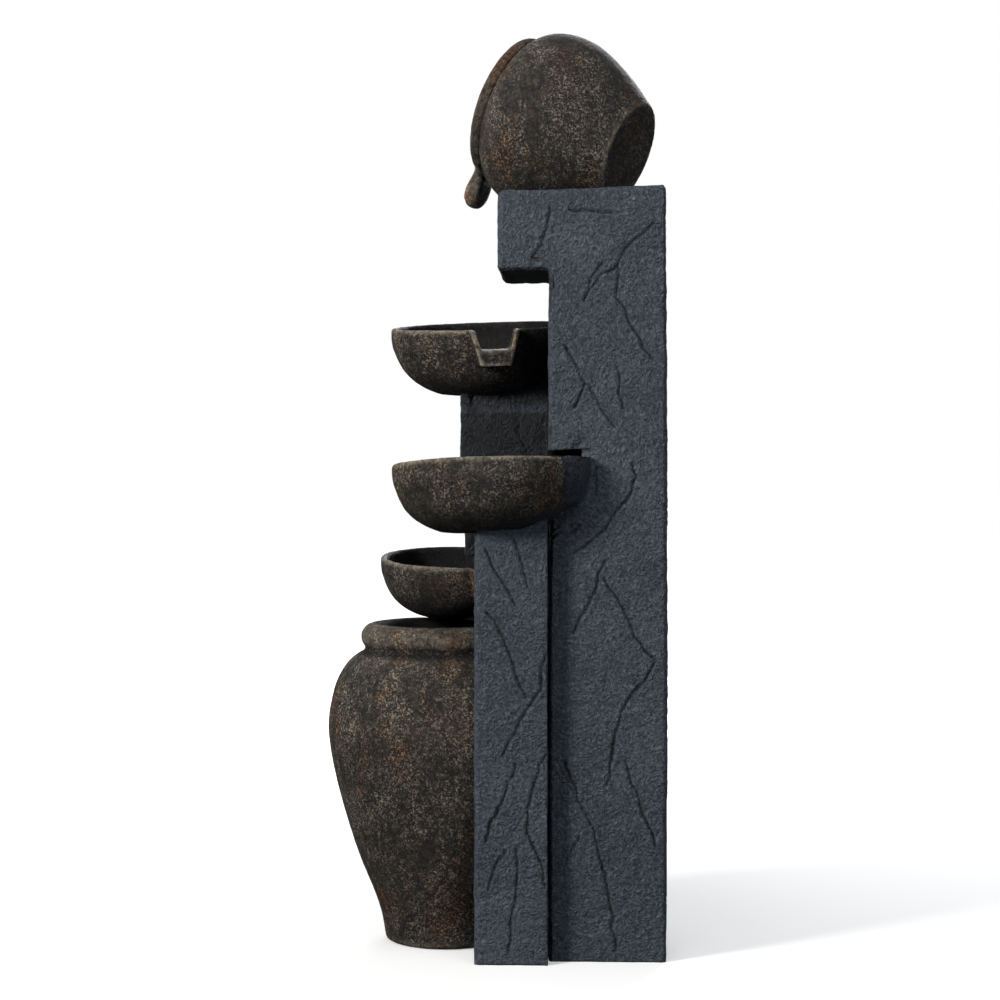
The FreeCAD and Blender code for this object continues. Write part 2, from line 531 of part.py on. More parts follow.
# ---------------------------------------------------------------- water line
def hose_route():
    foot_y, lean = PUMP_FACE_Y - COVER_T / 2, [TOP_UNDER_Z - drop for drop in HOSE_LEAN]
    return [Vector(PUMP_X, foot_y, PUMP_Z + SPIGOT_L), Vector(PUMP_X, foot_y, HOSE_Z),
            Vector(PUMP_X, HOSE_Y, HOSE_Z), Vector(PUMP_X, HOSE_Y, lean[0]),
            Vector(INLET_X, INLET_Y, lean[1]), Vector(INLET_X, INLET_Y, TOP_UNDER_Z - NUT_H - 4)]


def tube_path(points, limit):
    """Straight runs joined by tangent arcs, as large as the runs and limit allow."""
    edges, start = [], points[0]
    for before, corner, after in zip(points, points[1:], points[2:]):
        u = (before - corner).normalize()
        v = (after - corner).normalize()
        half = (pi - u.getAngle(v)) / 2
        run = min(corner.distanceToPoint(before), corner.distanceToPoint(after))
        radius = min(0.45 * run / tan(half), limit)
        back_off = radius * tan(half)
        a, b = corner + u * back_off, corner + v * back_off
        middle = corner + (u + v).normalize() * (radius / cos(half) - radius)
        edges.append(Part.LineSegment(start, a).toShape())
        edges.append(Part.Arc(a, middle, b).toShape())
        start = b
    edges.append(Part.LineSegment(start, points[-1]).toShape())
    return Part.Wire(edges)


def sweep(radius, points, limit):
    path = tube_path(points, limit)
    disc = Part.Wire(Part.makeCircle(radius, points[0], points[1] - points[0]))
    return path.makePipeShell([disc], True, False)


def make_hose():
    points = hose_route()
    return sweep(HOSE_R, points, HOSE_BEND).cut(sweep(HOSE_BORE, points, HOSE_BEND))


def make_hose_clamps():
    route = hose_route()
    rings = []
    for z in (route[0].z + 6, route[-1].z - 12):
        at = route[0] if z < HOSE_Z else route[-1]
        centre = Vector(at.x, at.y, z)
        band = ring(HOSE_R + 1.5, HOSE_R + 0.05, centre, Z, 8)
        ear = block((at.x - 3, at.x + 3), (at.y + HOSE_R + 1, at.y + HOSE_R + 7), (z, z + 8))
        rings.append(band.fuse(ear))
    return Part.makeCompound(rings)


def urn_radius_at(z):
    """The urn's outer radius at a height, between the points of its side."""
    side = urn_side(0)
    for (r0, z0), (r1, z1) in zip(side, side[1:]):
        if z0 <= z <= z1:
            return r0 + (r1 - r0) * (z - z0) / (z1 - z0)
    return side[-1][0]


def make_urn_grommet():
    spread = GROMMET_R + GROMMET_LIP
    outer_y = URN_Y + urn_radius_at(HOSE_Z - spread) + 1
    inner_y = URN_Y + urn_radius_at(HOSE_Z + spread) - WALL - 1
    sleeve = ring(GROMMET_R - 0.1, HOSE_R + 0.1, Vector(URN_X, inner_y, HOSE_Z), Y, outer_y - inner_y)
    for y in (inner_y - 2.5, outer_y - 0.5):
        sleeve = sleeve.fuse(ring(spread, HOSE_R + 0.1, Vector(URN_X, y, HOSE_Z), Y, 3))
    return sleeve.removeSplitter()


def make_hose_clips():
    clips = []
    low, high = HOSE_Z + HOSE_BEND, TOP_UNDER_Z - HOSE_LEAN[0]
    seat_y = TOWER_BACK - WALL
    for share in CLIP_SHARES:
        z = low + (high - low) * share
        ends = (z, z + CLIP_W)
        grip = ring(HOSE_R + 2.5, HOSE_R + 0.1, Vector(PUMP_X, HOSE_Y, z), Z, CLIP_W)
        mouth = block((PUMP_X - 4, PUMP_X + 4), (HOSE_Y - 3 * HOSE_R, HOSE_Y), (z - 1, z + CLIP_W + 1))
        stem = block((PUMP_X - 4, PUMP_X + 4), (HOSE_Y + HOSE_R + 1, seat_y - 3), ends)
        foot = block((PUMP_X - CLIP_W, PUMP_X + CLIP_W), (seat_y - 3, seat_y), (z - 6, z + CLIP_W + 6))
        clips.append(grip.cut(mouth).fuse([stem, foot]).removeSplitter())
    return Part.makeCompound(clips)


def make_jug_inlet():
    pad = Vector(INLET_X, INLET_Y, INLET_PAD_Z + GASKET_T)
    below = TOP_UNDER_Z - NUT_H - 2
    flange = rod(FLANGE_R, pad, Z, FLANGE_T)
    thread = rod(THREAD_R, Vector(INLET_X, INLET_Y, below), Z, pad.z - below + 1)
    barb = rod(SPIGOT_R, Vector(INLET_X, INLET_Y, below - BARB_L), Z, BARB_L + 1)
    bore = rod(SPIGOT_R - SPIGOT_WALL, Vector(INLET_X, INLET_Y, below - BARB_L - 1), Z, FAR)
    return flange.fuse([thread, barb]).removeSplitter().cut(bore)


def make_jug_nut():
    start = Vector(INLET_X, INLET_Y, TOP_UNDER_Z - NUT_H)
    return hexagon(2 * NUT_R, start, Z, NUT_H).cut(rod(THREAD_R, start - Z, Z, NUT_H + 2))


def make_jug_gasket():
    return ring(FLANGE_R, THREAD_R + 0.3, Vector(INLET_X, INLET_Y, INLET_PAD_Z), Z, GASKET_T)


# ---------------------------------------------------------------- pump
def on_axis(y):
    return Vector(PUMP_X, y, PUMP_Z)


def pump_block(half_width, y, height):
    return block((PUMP_X - half_width, PUMP_X + half_width), y, (PUMP_Z - height / 2, PUMP_Z + height / 2))


def make_pump_body():
    back = PUMP_FACE_Y + MOTOR_L
    body = pump_block(MOTOR_W / 2, (PUMP_FACE_Y, back), MOTOR_H)
    body = round_edges(body, 5, lambda c: c.y > PUMP_FACE_Y + 1)
    can = rod(ROTOR_R + CAN_GAP, on_axis(PUMP_FACE_Y - 1), Y, ROTOR_L + 4)
    body = body.cut(can).cut(rod(SHAFT_R, on_axis(PUMP_FACE_Y), Y, ROTOR_L + SHAFT_SEAT))
    for x, y in cup_places():
        body = body.cut(rod(CUP_STEM_R, Vector(x, y, 0), Z, PUMP_Z - MOTOR_H / 2 + 4))
    return body


def cup_places():
    middle_y = PUMP_FACE_Y + MOTOR_L / 2
    return [(PUMP_X + a * CUP_PITCH_X / 2, middle_y + b * CUP_PITCH_Y / 2) for a in (-1, 1) for b in (-1, 1)]


def make_cups():
    top = PUMP_Z - MOTOR_H / 2
    cups = []
    for x, y in cup_places():
        cone = Part.makeCone(CUP_R, CUP_STEM_R + 1.5, top - URN_FLOOR, Vector(x, y, URN_FLOOR), Z)
        hollow = Part.makeCone(CUP_R - 2, 1.0, 3.0, Vector(x, y, URN_FLOOR), Z)
        cups.append(cone.cut(hollow).fuse(rod(CUP_STEM_R, Vector(x, y, top - 1), Z, 4.5)))
    return Part.makeCompound(cups)


def make_pump_cover():
    front = PUMP_FACE_Y - COVER_T
    cover = pump_block(MOTOR_W / 2 - 2, (front, PUMP_FACE_Y), MOTOR_H - 4)
    cover = round_edges(cover, 4, lambda c: front + 1 < c.y < PUMP_FACE_Y - 1)
    mid_y = PUMP_FACE_Y - COVER_T / 2
    top = PUMP_Z + MOTOR_H / 2 - 2
    outlet = rod(SPIGOT_R, Vector(PUMP_X, mid_y, top - 1), Z, SPIGOT_L + 1)
    cover = cover.fuse(outlet).cut(rod(CHAMBER_R, on_axis(PUMP_FACE_Y - CHAMBER_T), Y, CHAMBER_T + 1))
    cover = cover.cut(rod(SPIGOT_R - SPIGOT_WALL, Vector(PUMP_X, mid_y, PUMP_Z + CHAMBER_R - 4), Z, FAR))
    hub = rod(SHAFT_R + 2.3, on_axis(front), Y, COVER_T - CHAMBER_T)
    eye = rod(CHAMBER_R - 6, on_axis(front - 1), Y, COVER_T).cut(hub)
    arm = CHAMBER_R - 5
    arms = [block((PUMP_X - 1, PUMP_X + 1), (front, PUMP_FACE_Y), (PUMP_Z - arm, PUMP_Z + arm)),
            block((PUMP_X - arm, PUMP_X + arm), (front, PUMP_FACE_Y), (PUMP_Z - 1, PUMP_Z + 1))]
    for arm in arms:
        eye = eye.cut(arm)
    return cover.cut(eye).cut(rod(SHAFT_R, on_axis(front + 1), Y, COVER_T))


def make_rotor():
    disc_y = PUMP_FACE_Y - 2.5
    front = PUMP_FACE_Y - IMPELLER_T - 0.5
    magnet = rod(ROTOR_R, on_axis(PUMP_FACE_Y - 1), Y, ROTOR_L + 1)
    disc = rod(IMPELLER_R, on_axis(disc_y), Y, 2.0)
    hub = rod(SHAFT_R + 3, on_axis(front), Y, IMPELLER_T)
    parts = [disc, hub]
    for k in range(BLADES):
        blade = block((0, IMPELLER_R - 1), (front, disc_y + 1), (-0.75, 0.75))
        blade.rotate(Vector(), Y, k * 360 / BLADES)
        blade.translate(Vector(PUMP_X, 0, PUMP_Z))
        parts.append(blade)
    rotor = magnet.fuse(parts)
    return rotor.cut(rod(SHAFT_R + SHAFT_PLAY, on_axis(front - 1), Y, 2 * ROTOR_L)).removeSplitter()


def make_shaft():
    start = PUMP_FACE_Y - COVER_T + 1
    return rod(SHAFT_R, on_axis(start), Y, PUMP_FACE_Y + ROTOR_L + SHAFT_SEAT - start)


def strainer_front():
    return PUMP_FACE_Y - COVER_T - STRAINER_L


def ports(y, length):
    """Four round water ways about the pump's axis."""
    angles = [k * pi / 2 for k in range(4)]
    return [rod(PORT_R, on_axis(y) + Vector(PORT_PITCH_R * cos(a), 0, PORT_PITCH_R * sin(a)), Y, length)
            for a in angles]


def make_strainer():
    back = PUMP_FACE_Y - COVER_T
    front = strainer_front()
    cage = pump_block(MOTOR_W / 2 - 2, (front, back), MOTOR_H - 4)
    cage = round_edges(cage, 4, lambda c: c.y < back - 1)
    wall = STRAINER_WALL
    cage = cage.cut(pump_block(MOTOR_W / 2 - 2 - wall, (front + wall, back + 1), MOTOR_H - 4 - 2 * wall))
    for k in range(-2, 3):
        slot_z = PUMP_Z + k * SLOT_PITCH
        slot = (slot_z - SLOT_H / 2, slot_z + SLOT_H / 2)
        cage = cage.cut(block((PUMP_X - FAR, PUMP_X + FAR), (front + 5, back - 4), slot))
    cage = cage.cut(ports(front - 1, wall + 2))
    return cage.cut(rod(DIAL_STEM_R + SHAFT_PLAY, on_axis(front - 1), Y, wall + 2))


def make_dial():
    front = strainer_front()
    disc = rod(DIAL_R, on_axis(front - DIAL_T - 0.3), Y, DIAL_T)
    face, half = front - DIAL_T, DIAL_R - 2
    grip = block((PUMP_X - 1.5, PUMP_X + 1.5), (face - DIAL_GRIP, face), (PUMP_Z - half, PUMP_Z + half))
    stem = rod(DIAL_STEM_R, on_axis(front - 1), Y, STRAINER_WALL + 3)
    clip = rod(DIAL_STEM_R + 1.5, on_axis(front + STRAINER_WALL + 0.3), Y, 1.7)
    return disc.fuse([grip, stem, clip]).removeSplitter().cut(ports(front - 6, 6.5))


# ---------------------------------------------------------------- door, seals
def door_outline(shrink):
    lap = DOOR_LAP - shrink
    return (DOOR_X[0] - lap, DOOR_X[1] + lap), (DOOR_Z[0] - lap, DOOR_Z[1] + lap)


def make_door():
    x, z = door_outline(DOOR_PLAY)
    plate = block(x, (DOOR_Y, DOOR_Y + DOOR_T), z)
    plug = block((DOOR_X[0] + DOOR_PLAY, DOOR_X[1] - DOOR_PLAY), (TOWER_BACK - WALL - 2, DOOR_Y + 1),
                 (DOOR_Z[0] + DOOR_PLAY, DOOR_Z[1] - DOOR_PLAY))
    hollow = block((DOOR_X[0] + 4, DOOR_X[1] - 4), (TOWER_BACK - WALL - 3, DOOR_Y),
                   (DOOR_Z[0] + 4, DOOR_Z[1] - 4))
    pull = block((TOWER_MID - PULL_W / 2, TOWER_MID + PULL_W / 2), (DOOR_Y + 1, DOOR_Y + DOOR_T + 1),
                 (DOOR_Z[1] + 2 - PULL_H, DOOR_Z[1] + 2))
    return plate.cut(pull).fuse(plug.cut(hollow)).removeSplitter()


def make_door_seal():
    x, z = door_outline(DOOR_PLAY)
    plate = block(x, (SEAL_Y, DOOR_Y), z)
    return plate.cut(block(DOOR_X, (SEAL_Y - 1, DOOR_Y + 1), DOOR_Z))


def make_cord_grommet():
    inner, outer = TOWER_BACK - WALL, TOWER_BACK
    sleeve = ring(CORD_GROMMET_R - 0.05, CORD_BORE, Vector(CORD_X, inner - 2, CORD_Z), Y, WALL + 2)
    flange = ring(CORD_GROMMET_R + 3, CORD_BORE, Vector(CORD_X, inner - 2, CORD_Z), Y, 2)
    return sleeve.fuse(flange).removeSplitter()


def make_drain_plug():
    stem = rod(PLUG_R, Vector(PLUG_X, URN_Y, 1), Z, URN_FLOOR)
    head = rod(PLUG_HEAD_R, Vector(PLUG_X, URN_Y, URN_FLOOR), Z, 3)
    grip = block((PLUG_X - 6, PLUG_X + 6), (URN_Y - 1.5, URN_Y + 1.5), (URN_FLOOR + 2, URN_FLOOR + 11))
    return stem.fuse([head, grip]).removeSplitter()


# ---------------------------------------------------------------- export
def make_drilled_bowl(bowl, spout, offset):
    return make_bowl(bowl, spout).cut(bowl_hole(bowl, offset))


NODES = {
    "tower_shell": make_tower,
    "right_pillar": make_right_pillar,
    "left_pillar": make_left_pillar,
    "upper_bowl": lambda: make_drilled_bowl(UPPER, BIG_SPOUT, UPPER_BOLT),
    "middle_bowl": lambda: make_drilled_bowl(MIDDLE, BIG_SPOUT, MIDDLE_BOLT),
    "lower_bowl": make_lower_bowl,
    "urn": make_urn,
    "jug": make_jug,
    "jug_lip": make_jug_lip,
    "jug_inlet": make_jug_inlet,
    "jug_nut": make_jug_nut,
    "jug_gasket": make_jug_gasket,
    "riser_hose": make_hose,
    "hose_clamps": make_hose_clamps,
    "urn_hose_grommet": make_urn_grommet,
    "hose_clips": make_hose_clips,
    "pump_body": make_pump_body,
    "pump_cover": make_pump_cover,
    "pump_rotor": make_rotor,
    "rotor_shaft": make_shaft,
    "pump_strainer": make_strainer,
    "flow_dial": make_dial,
    "suction_cups": make_cups,
    "service_door": make_door,
    "door_seal": make_door_seal,
    "cord_grommet": make_cord_grommet,
    "drain_plug": make_drain_plug,
    "bowl_bolts": lambda: Part.makeCompound([foot_bolt(*f) for f in FOOT_BOLTS]),
    "bowl_washers": lambda: Part.makeCompound([w for f in FOOT_BOLTS for w in foot_washers(*f)]),
    "bowl_nuts": lambda: Part.makeCompound([foot_nut(*f) for f in FOOT_BOLTS]),
    "lower_bowl_bolt": make_lower_bolt,
    "lower_bowl_spacer": make_lower_spacer,
    "pillar_bolts": lambda: Part.makeCompound([wall_bolt(x, z) for x, z in RIGHT_BOLTS + LEFT_BOLTS]),
    "wall_nuts": lambda: Part.makeCompound([wall_nut(x, z) for x, z in
                                            RIGHT_BOLTS + LEFT_BOLTS + [(LOWER_BOLT_X, LOWER_BOLT_Z)]]),
}

os.makedirs("parts", exist_ok=True)
box = FreeCAD.BoundBox()
for name, make in NODES.items():
    shape = make()
    shape.exportStep("parts/" + name + ".step")
    box.add(shape.BoundBox)
    print(name, "solids", len(shape.Solids), "valid", shape.isValid(), "cm3", round(shape.Volume / 1000, 1))
print("box", [round(v, 2) for v in (box.XMin, box.XMax, box.YMin, box.YMax, box.ZMin, box.ZMax)])
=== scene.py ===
import random
from math import cos, pi, radians, sin

import bmesh
import bpy
import numpy as np
from mathutils import Matrix, Vector, noise


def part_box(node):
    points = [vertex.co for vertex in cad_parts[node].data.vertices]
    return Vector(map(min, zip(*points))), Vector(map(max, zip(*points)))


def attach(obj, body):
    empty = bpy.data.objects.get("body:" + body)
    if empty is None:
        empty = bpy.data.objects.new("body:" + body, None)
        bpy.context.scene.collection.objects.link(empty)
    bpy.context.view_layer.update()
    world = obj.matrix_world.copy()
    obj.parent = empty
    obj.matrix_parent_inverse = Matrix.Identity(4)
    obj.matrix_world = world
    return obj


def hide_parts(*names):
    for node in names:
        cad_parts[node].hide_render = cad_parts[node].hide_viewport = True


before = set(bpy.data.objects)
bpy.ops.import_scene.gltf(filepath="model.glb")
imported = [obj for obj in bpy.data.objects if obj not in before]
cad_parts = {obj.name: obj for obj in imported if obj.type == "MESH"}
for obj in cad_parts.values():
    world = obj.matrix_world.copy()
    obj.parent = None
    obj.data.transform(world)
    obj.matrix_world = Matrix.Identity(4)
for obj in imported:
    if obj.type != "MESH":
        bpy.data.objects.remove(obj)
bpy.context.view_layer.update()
MM = 0.001
FLOOR_RADIUS = 12.0
FLOW_MARK = 0.76        # brightness left in a flow mark on moulded plastic


# ---------------------------------------------------------------- camera, floor and light
def place_camera():
    """Stands 2.5 m off the right side at about half the fountain's height, level, with the
    rest of the rise taken by shift."""
    camera = bpy.data.objects.new("camera", bpy.data.cameras.new("camera"))
    bpy.context.scene.collection.objects.link(camera)
    camera.location = (2.555, 0.089, 0.544)
    camera.rotation_euler = (radians(90), 0, radians(90 + 1.9))
    camera.data.lens = 82.8
    camera.data.sensor_width = 36
    camera.data.shift_y = -0.05
    camera.data.clip_end = 60
    bpy.context.scene.camera = camera


def area_light(name, at, aim, size, watts, tint):
    """A round softbox at a place, turned to its aim."""
    lamp = bpy.data.lights.new(name, "AREA")
    lamp.shape, lamp.size = "DISK", size
    lamp.energy, lamp.color = watts, tint
    holder = bpy.data.objects.new(name, lamp)
    holder.location = at
    holder.rotation_euler = (Vector(aim) - Vector(at)).to_track_quat("-Z", "Y").to_euler()
    bpy.context.scene.collection.objects.link(holder)


def studio_world():
    """Plain white to the camera; to everything else a soft glow that grows with height."""
    world = bpy.data.worlds.new("studio")
    world.use_nodes = True
    tree = world.node_tree
    seen, lit = tree.nodes["Background"], tree.nodes.new("ShaderNodeBackground")
    seen.inputs["Color"].default_value, seen.inputs["Strength"].default_value = (1, 1, 1, 1), 1.0
    lit.inputs["Color"].default_value = (0.93, 0.96, 1, 1)
    ray = add(tree, "ShaderNodeTexCoord").outputs["Generated"]
    rise = add(tree, "ShaderNodeSeparateXYZ", {"Vector": ray}).outputs["Z"]
    tree.links.new(ramp(tree, rise, -0.25, 0.75, 0.05, 0.3), lit.inputs["Strength"])
    rays, either = tree.nodes.new("ShaderNodeLightPath"), tree.nodes.new("ShaderNodeMixShader")
    tree.links.new(rays.outputs["Is Camera Ray"], either.inputs[0])
    tree.links.new(lit.outputs[0], either.inputs[1])
    tree.links.new(seen.outputs[0], either.inputs[2])
    tree.links.new(either.outputs[0], tree.nodes["World Output"].inputs["Surface"])
    return world


def build_stage():
    scene = bpy.context.scene
    scene.view_settings.view_transform = "Standard"
    scene.world = studio_world()
    area_light("key", (1.8, -2.3, 1.7), (0, 0, 0.5), 0.8, 96, (1, 0.985, 0.96))
    area_light("top", (0.9, 0.1, 2.9), (0, 0, 0.4), 1.0, 10, (1, 1, 1))
    area_light("fill", (2.6, 2.0, 0.9), (0, 0, 0.4), 1.6, 18, (0.9, 0.95, 1))
    area_light("back", (-2.9, 0.5, 1.5), (0, 0, 0.5), 2.0, 40, (0.97, 0.98, 1))
    bm = bmesh.new()
    bmesh.ops.create_circle(bm, cap_ends=True, segments=96, radius=FLOOR_RADIUS)
    floor = piece_from(bm, "studio_floor", floor_material())
    floor.visible_diffuse = floor.visible_glossy = False


# ---------------------------------------------------------------- materials
def linear(hex_value):
    """An sRGB hex colour as the linear one that the shader works in."""
    out = []
    for shift in (16, 8, 0):
        c = (hex_value >> shift & 255) / 255
        out.append(c / 12.92 if c <= 0.04045 else ((c + 0.055) / 1.055) ** 2.4)
    return (*out, 1.0)


def add(tree, kind, links=None, **settings):
    """Adds a node. Settings that name an input go to it, the rest to the node itself;
    links maps an input's name or number to the socket that feeds it."""
    made = tree.nodes.new(kind)
    for key, value in settings.items():
        name = key.replace("_", " ").title()
        if hasattr(made, key):
            setattr(made, key, value)
        else:
            made.inputs[name].default_value = value
    for key, socket in (links or {}).items():
        tree.links.new(socket, made.inputs[key])
    return made


def start_material(name, roughness, metallic=0.0, ior=1.5, specular=0.5):
    """A new material, its node tree and its shader, with what is the same all over it."""
    material = bpy.data.materials.new(name)
    material.use_nodes = True
    tree = material.node_tree
    shader = tree.nodes["Principled BSDF"]
    shader.inputs["Roughness"].default_value = roughness
    shader.inputs["Metallic"].default_value = metallic
    shader.inputs["Specular IOR Level"].default_value = specular
    if not metallic:
        shader.inputs["IOR"].default_value = ior
    return material, tree, shader


def ramp(tree, value, low, high, a=0.0, b=1.0):
    """Maps low..high to a..b and clips the rest."""
    made = add(tree, "ShaderNodeMapRange", {"Value": value})
    for key, number in (("From Min", low), ("From Max", high), ("To Min", a), ("To Max", b)):
        made.inputs[key].default_value = number
    return made.outputs[0]


def mix_colour(tree, share, a, b, blend="MIX"):
    made = add(tree, "ShaderNodeMix", data_type="RGBA", blend_type=blend, clamp_factor=True)
    for socket, value in ((made.inputs[0], share), (made.inputs[6], a), (made.inputs[7], b)):
        if hasattr(value, "is_output"):
            tree.links.new(value, socket)
        else:
            socket.default_value = value
    return made.outputs[2]


def maths(tree, how, a, b):
    made = add(tree, "ShaderNodeMath", operation=how)
    for number, value in enumerate((a, b)):
        if hasattr(value, "is_output"):
            tree.links.new(value, made.inputs[number])
        else:
            made.inputs[number].default_value = value
    return made.outputs[0]


def bump(tree, shader, height, depth_mm, strength=1.0):
    made = add(tree, "ShaderNodeBump", {"Height": height}, strength=strength, distance=depth_mm * MM)
    tree.links.new(made.outputs[0], shader.inputs["Normal"])


def place(tree):
    return add(tree, "ShaderNodeTexCoord").outputs["Object"]


def attribute(tree, name):
    return add(tree, "ShaderNodeAttribute", attribute_name=name).outputs["Fac"]


def stretched(tree, where, scale):
    made = add(tree, "ShaderNodeMapping", {"Vector": where})
    made.inputs["Scale"].default_value = scale
    return made.outputs[0]


def grain(tree, where, size_mm, detail=2.0, rough=0.5, warp=0.0):
    """A noise with features about size_mm across, warped by warp."""
    made = add(tree, "ShaderNodeTexNoise", {"Vector": where},
               scale=1000 / size_mm, detail=detail, roughness=rough, distortion=warp)
    return made.outputs[0]


def creases(tree, where, size_mm, warp):
    """Rounded lumps that meet in thin creases: 0 in a crease, about 1 on a lump."""
    half = maths(tree, "SUBTRACT", grain(tree, where, size_mm, 2.0, 0.55, warp), 0.5)
    return ramp(tree, maths(tree, "ABSOLUTE", half, 0.0), 0.0, 0.16)


def painted(tree, tone, mask, share, colour):
    """Paints colour over tone where the mesh carries a mask, share deep at most."""
    return mix_colour(tree, ramp(tree, attribute(tree, mask), 0, 1, 0, share), tone, linear(colour))


def slate_colour(tree, where):
    """Charcoal with a little blue, clouded by hand spraying, darker in the creases of the
    grain and greyer on its crests, where the top coat has been wiped."""
    cloud = grain(tree, where, 75, 3, 0.55)
    tone = mix_colour(tree, ramp(tree, cloud, 0.35, 0.65), linear(0x3C444D), linear(0x4A525C))
    fold = creases(tree, where, 7.0, 1.0)
    tone = mix_colour(tree, ramp(tree, fold, 0.0, 0.3, 0.45, 0.0), tone, linear(0x1B1F25))
    pits = grain(tree, where, 3.0, 3, 0.65, 0.5)
    tone = mix_colour(tree, ramp(tree, pits, 0.36, 0.48, 0.75, 0.0), tone, linear(0x1B1F25))
    return mix_colour(tree, ramp(tree, pits, 0.55, 0.66, 0.0, 0.6), tone, linear(0x6A737E)), pits, fold


def slate_resin():
    """Cast polyresin from a split-slate mould, sprayed charcoal: nearly matt, wrinkled and
    gritty, with fine cracks that stay darker than the face round them."""
    material, tree, shader = start_material("polyresin_cast_slate_charcoal", 0.5, specular=0.42)
    where = place(tree)
    tone, pits, fold = slate_colour(tree, where)
    crack = attribute(tree, "crack")
    tone = mix_colour(tree, ramp(tree, crack, 0.05, 0.6, 0.0, 0.85), tone, linear(0x07090B))
    # Painted shade: the slate goes near black where the mesh's shade mask is set, on undersides, in the
    # tower's lee and down joints.
    tone = painted(tree, tone, "painted_shade", 0.94, 0x090D13)
    tree.links.new(tone, shader.inputs["Base Color"])
    chisel = grain(tree, stretched(tree, where, (1.0, 1.0, 1.4)), 8, 3, 0.6, 0.8)
    height = maths(tree, "ADD", maths(tree, "MULTIPLY", fold, 0.3), maths(tree, "MULTIPLY", chisel, 0.6))
    height = maths(tree, "ADD", height, maths(tree, "MULTIPLY", pits, 0.9))
    bump(tree, shader, height, 2.6, 1.0)
    return material


def bronze_resin():
    """Cast polyresin with a finely wrinkled face, painted near black with a bronze sheen and
    dry-brushed in upright sweeps: tan on the crests of the grain, copper where it was rubbed
    hardest and on rims, and almost bare black between the sweeps."""
    material, tree, shader = start_material("polyresin_cast_bronze_drybrushed", 0.45, specular=0.32)
    where = place(tree)
    hue = grain(tree, where, 70, 2, 0.5)
    base = mix_colour(tree, ramp(tree, hue, 0.4, 0.6), linear(0x15110E), linear(0x101214))
    worms = grain(tree, where, 2.2, 2, 0.6, 0.9)
    crests = ramp(tree, worms, 0.53, 0.60)
    sweeps = grain(tree, stretched(tree, where, (1.0, 1.0, 0.4)), 30, 4, 0.62, 0.7)
    streaks = grain(tree, where, 11, 3, 0.6, 1.6)
    patch = grain(tree, stretched(tree, where, (1.0, 1.0, 0.6)), 46, 3, 0.6, 0.5)
    copper = ramp(tree, patch, 0.50, 0.66)
    wear = attribute(tree, "wear")
    sweep = maths(tree, "ADD", sweeps, maths(tree, "MULTIPLY", streaks, 0.5))
    haze = ramp(tree, sweep, 0.64, 0.94, 0.05, 0.95)
    share = maths(tree, "ADD", haze, maths(tree, "MULTIPLY", copper, 0.25))
    share = maths(tree, "MULTIPLY", share, crests)
    rubbed = maths(tree, "MULTIPLY", wear, ramp(tree, streaks, 0.35, 0.6, 0.2, 0.9))
    share = maths(tree, "ADD", share, rubbed)
    share.node.use_clamp = True
    brushed = mix_colour(tree, copper, linear(0xB3A592), linear(0xAE8565))
    tone = mix_colour(tree, share, base, brushed)
    glaze = mix_colour(tree, copper, linear(0x3F3A33), linear(0x4A3727))
    tone = mix_colour(tree, maths(tree, "MULTIPLY", haze, 0.14), tone, glaze)
    # Painted shade: the pot's inside, where faces look back at its axis, goes near black.
    tone = painted(tree, tone, "inside", 0.9, 0x0B0C0E)
    slate, _, _ = slate_colour(tree, where)
    slate = mix_colour(tree, 0.35, slate, linear(0x14171B))
    tone = mix_colour(tree, attribute(tree, "slate"), tone, slate)
    # Painted shade: the bronze goes near black where the mesh's shade mask is set.
    tone = painted(tree, tone, "painted_shade", 0.92, 0x050607)
    tree.links.new(tone, shader.inputs["Base Color"])
    dull = maths(tree, "MULTIPLY", attribute(tree, "painted_shade"), 0.35)
    tree.links.new(maths(tree, "ADD", ramp(tree, crests, 0, 1, 0.46, 0.36), dull), shader.inputs["Roughness"])
    height = maths(tree, "ADD", worms, maths(tree, "MULTIPLY", streaks, 0.5))
    bump(tree, shader, height, 3.2, 1.0)
    return material


def moulded(name, colour, roughness, speck_mm=0.8, depth_mm=0.05):
    """Injection-moulded plastic or rubber: spark-eroded texture and a faint cloud of flow
    marks, a quarter darker than the rest."""
    material, tree, shader = start_material(name, roughness)
    where = place(tree)
    plain = linear(colour)
    darker = tuple(c * FLOW_MARK for c in plain[:3]) + (1,)
    tone = mix_colour(tree, ramp(tree, grain(tree, where, 18), 0.35, 0.7), plain, darker)
    tree.links.new(tone, shader.inputs["Base Color"])
    bump(tree, shader, grain(tree, where, speck_mm), depth_mm, 0.5)
    return material


def metal(name, colour, roughness):
    """Bright metal with fine turning or drawing lines, drawn coarse enough to show."""
    material, tree, shader = start_material(name, roughness, 1.0)
    where = place(tree)
    lines = grain(tree, stretched(tree, where, (1, 1, 12)), 1.6, 2, 0.6)
    tree.links.new(mix_colour(tree, ramp(tree, lines, 0.3, 0.7, 0, 0.35), linear(colour), linear(0x6E6F70)),
                   shader.inputs["Base Color"])
    bump(tree, shader, lines, 0.03, 0.4)
    return material


def vinyl_hose():
    """Soft extruded PVC tube: milky and slightly clear, with faint lines along the draw."""
    material, tree, shader = start_material("pvc_soft_extruded", 0.28, 0.0, 1.53)
    where = place(tree)
    lines = grain(tree, stretched(tree, where, (1, 1, 0.08)), 2.0)
    tree.links.new(mix_colour(tree, ramp(tree, lines, 0.3, 0.7, 0, 0.4), linear(0xB9BFBB), linear(0x9AA39F)),
                   shader.inputs["Base Color"])
    shader.inputs["Subsurface Weight"].default_value = 0.25
    shader.inputs["Subsurface Radius"].default_value = (0.002, 0.002, 0.002)
    bump(tree, shader, lines, 0.05, 0.4)
    return material


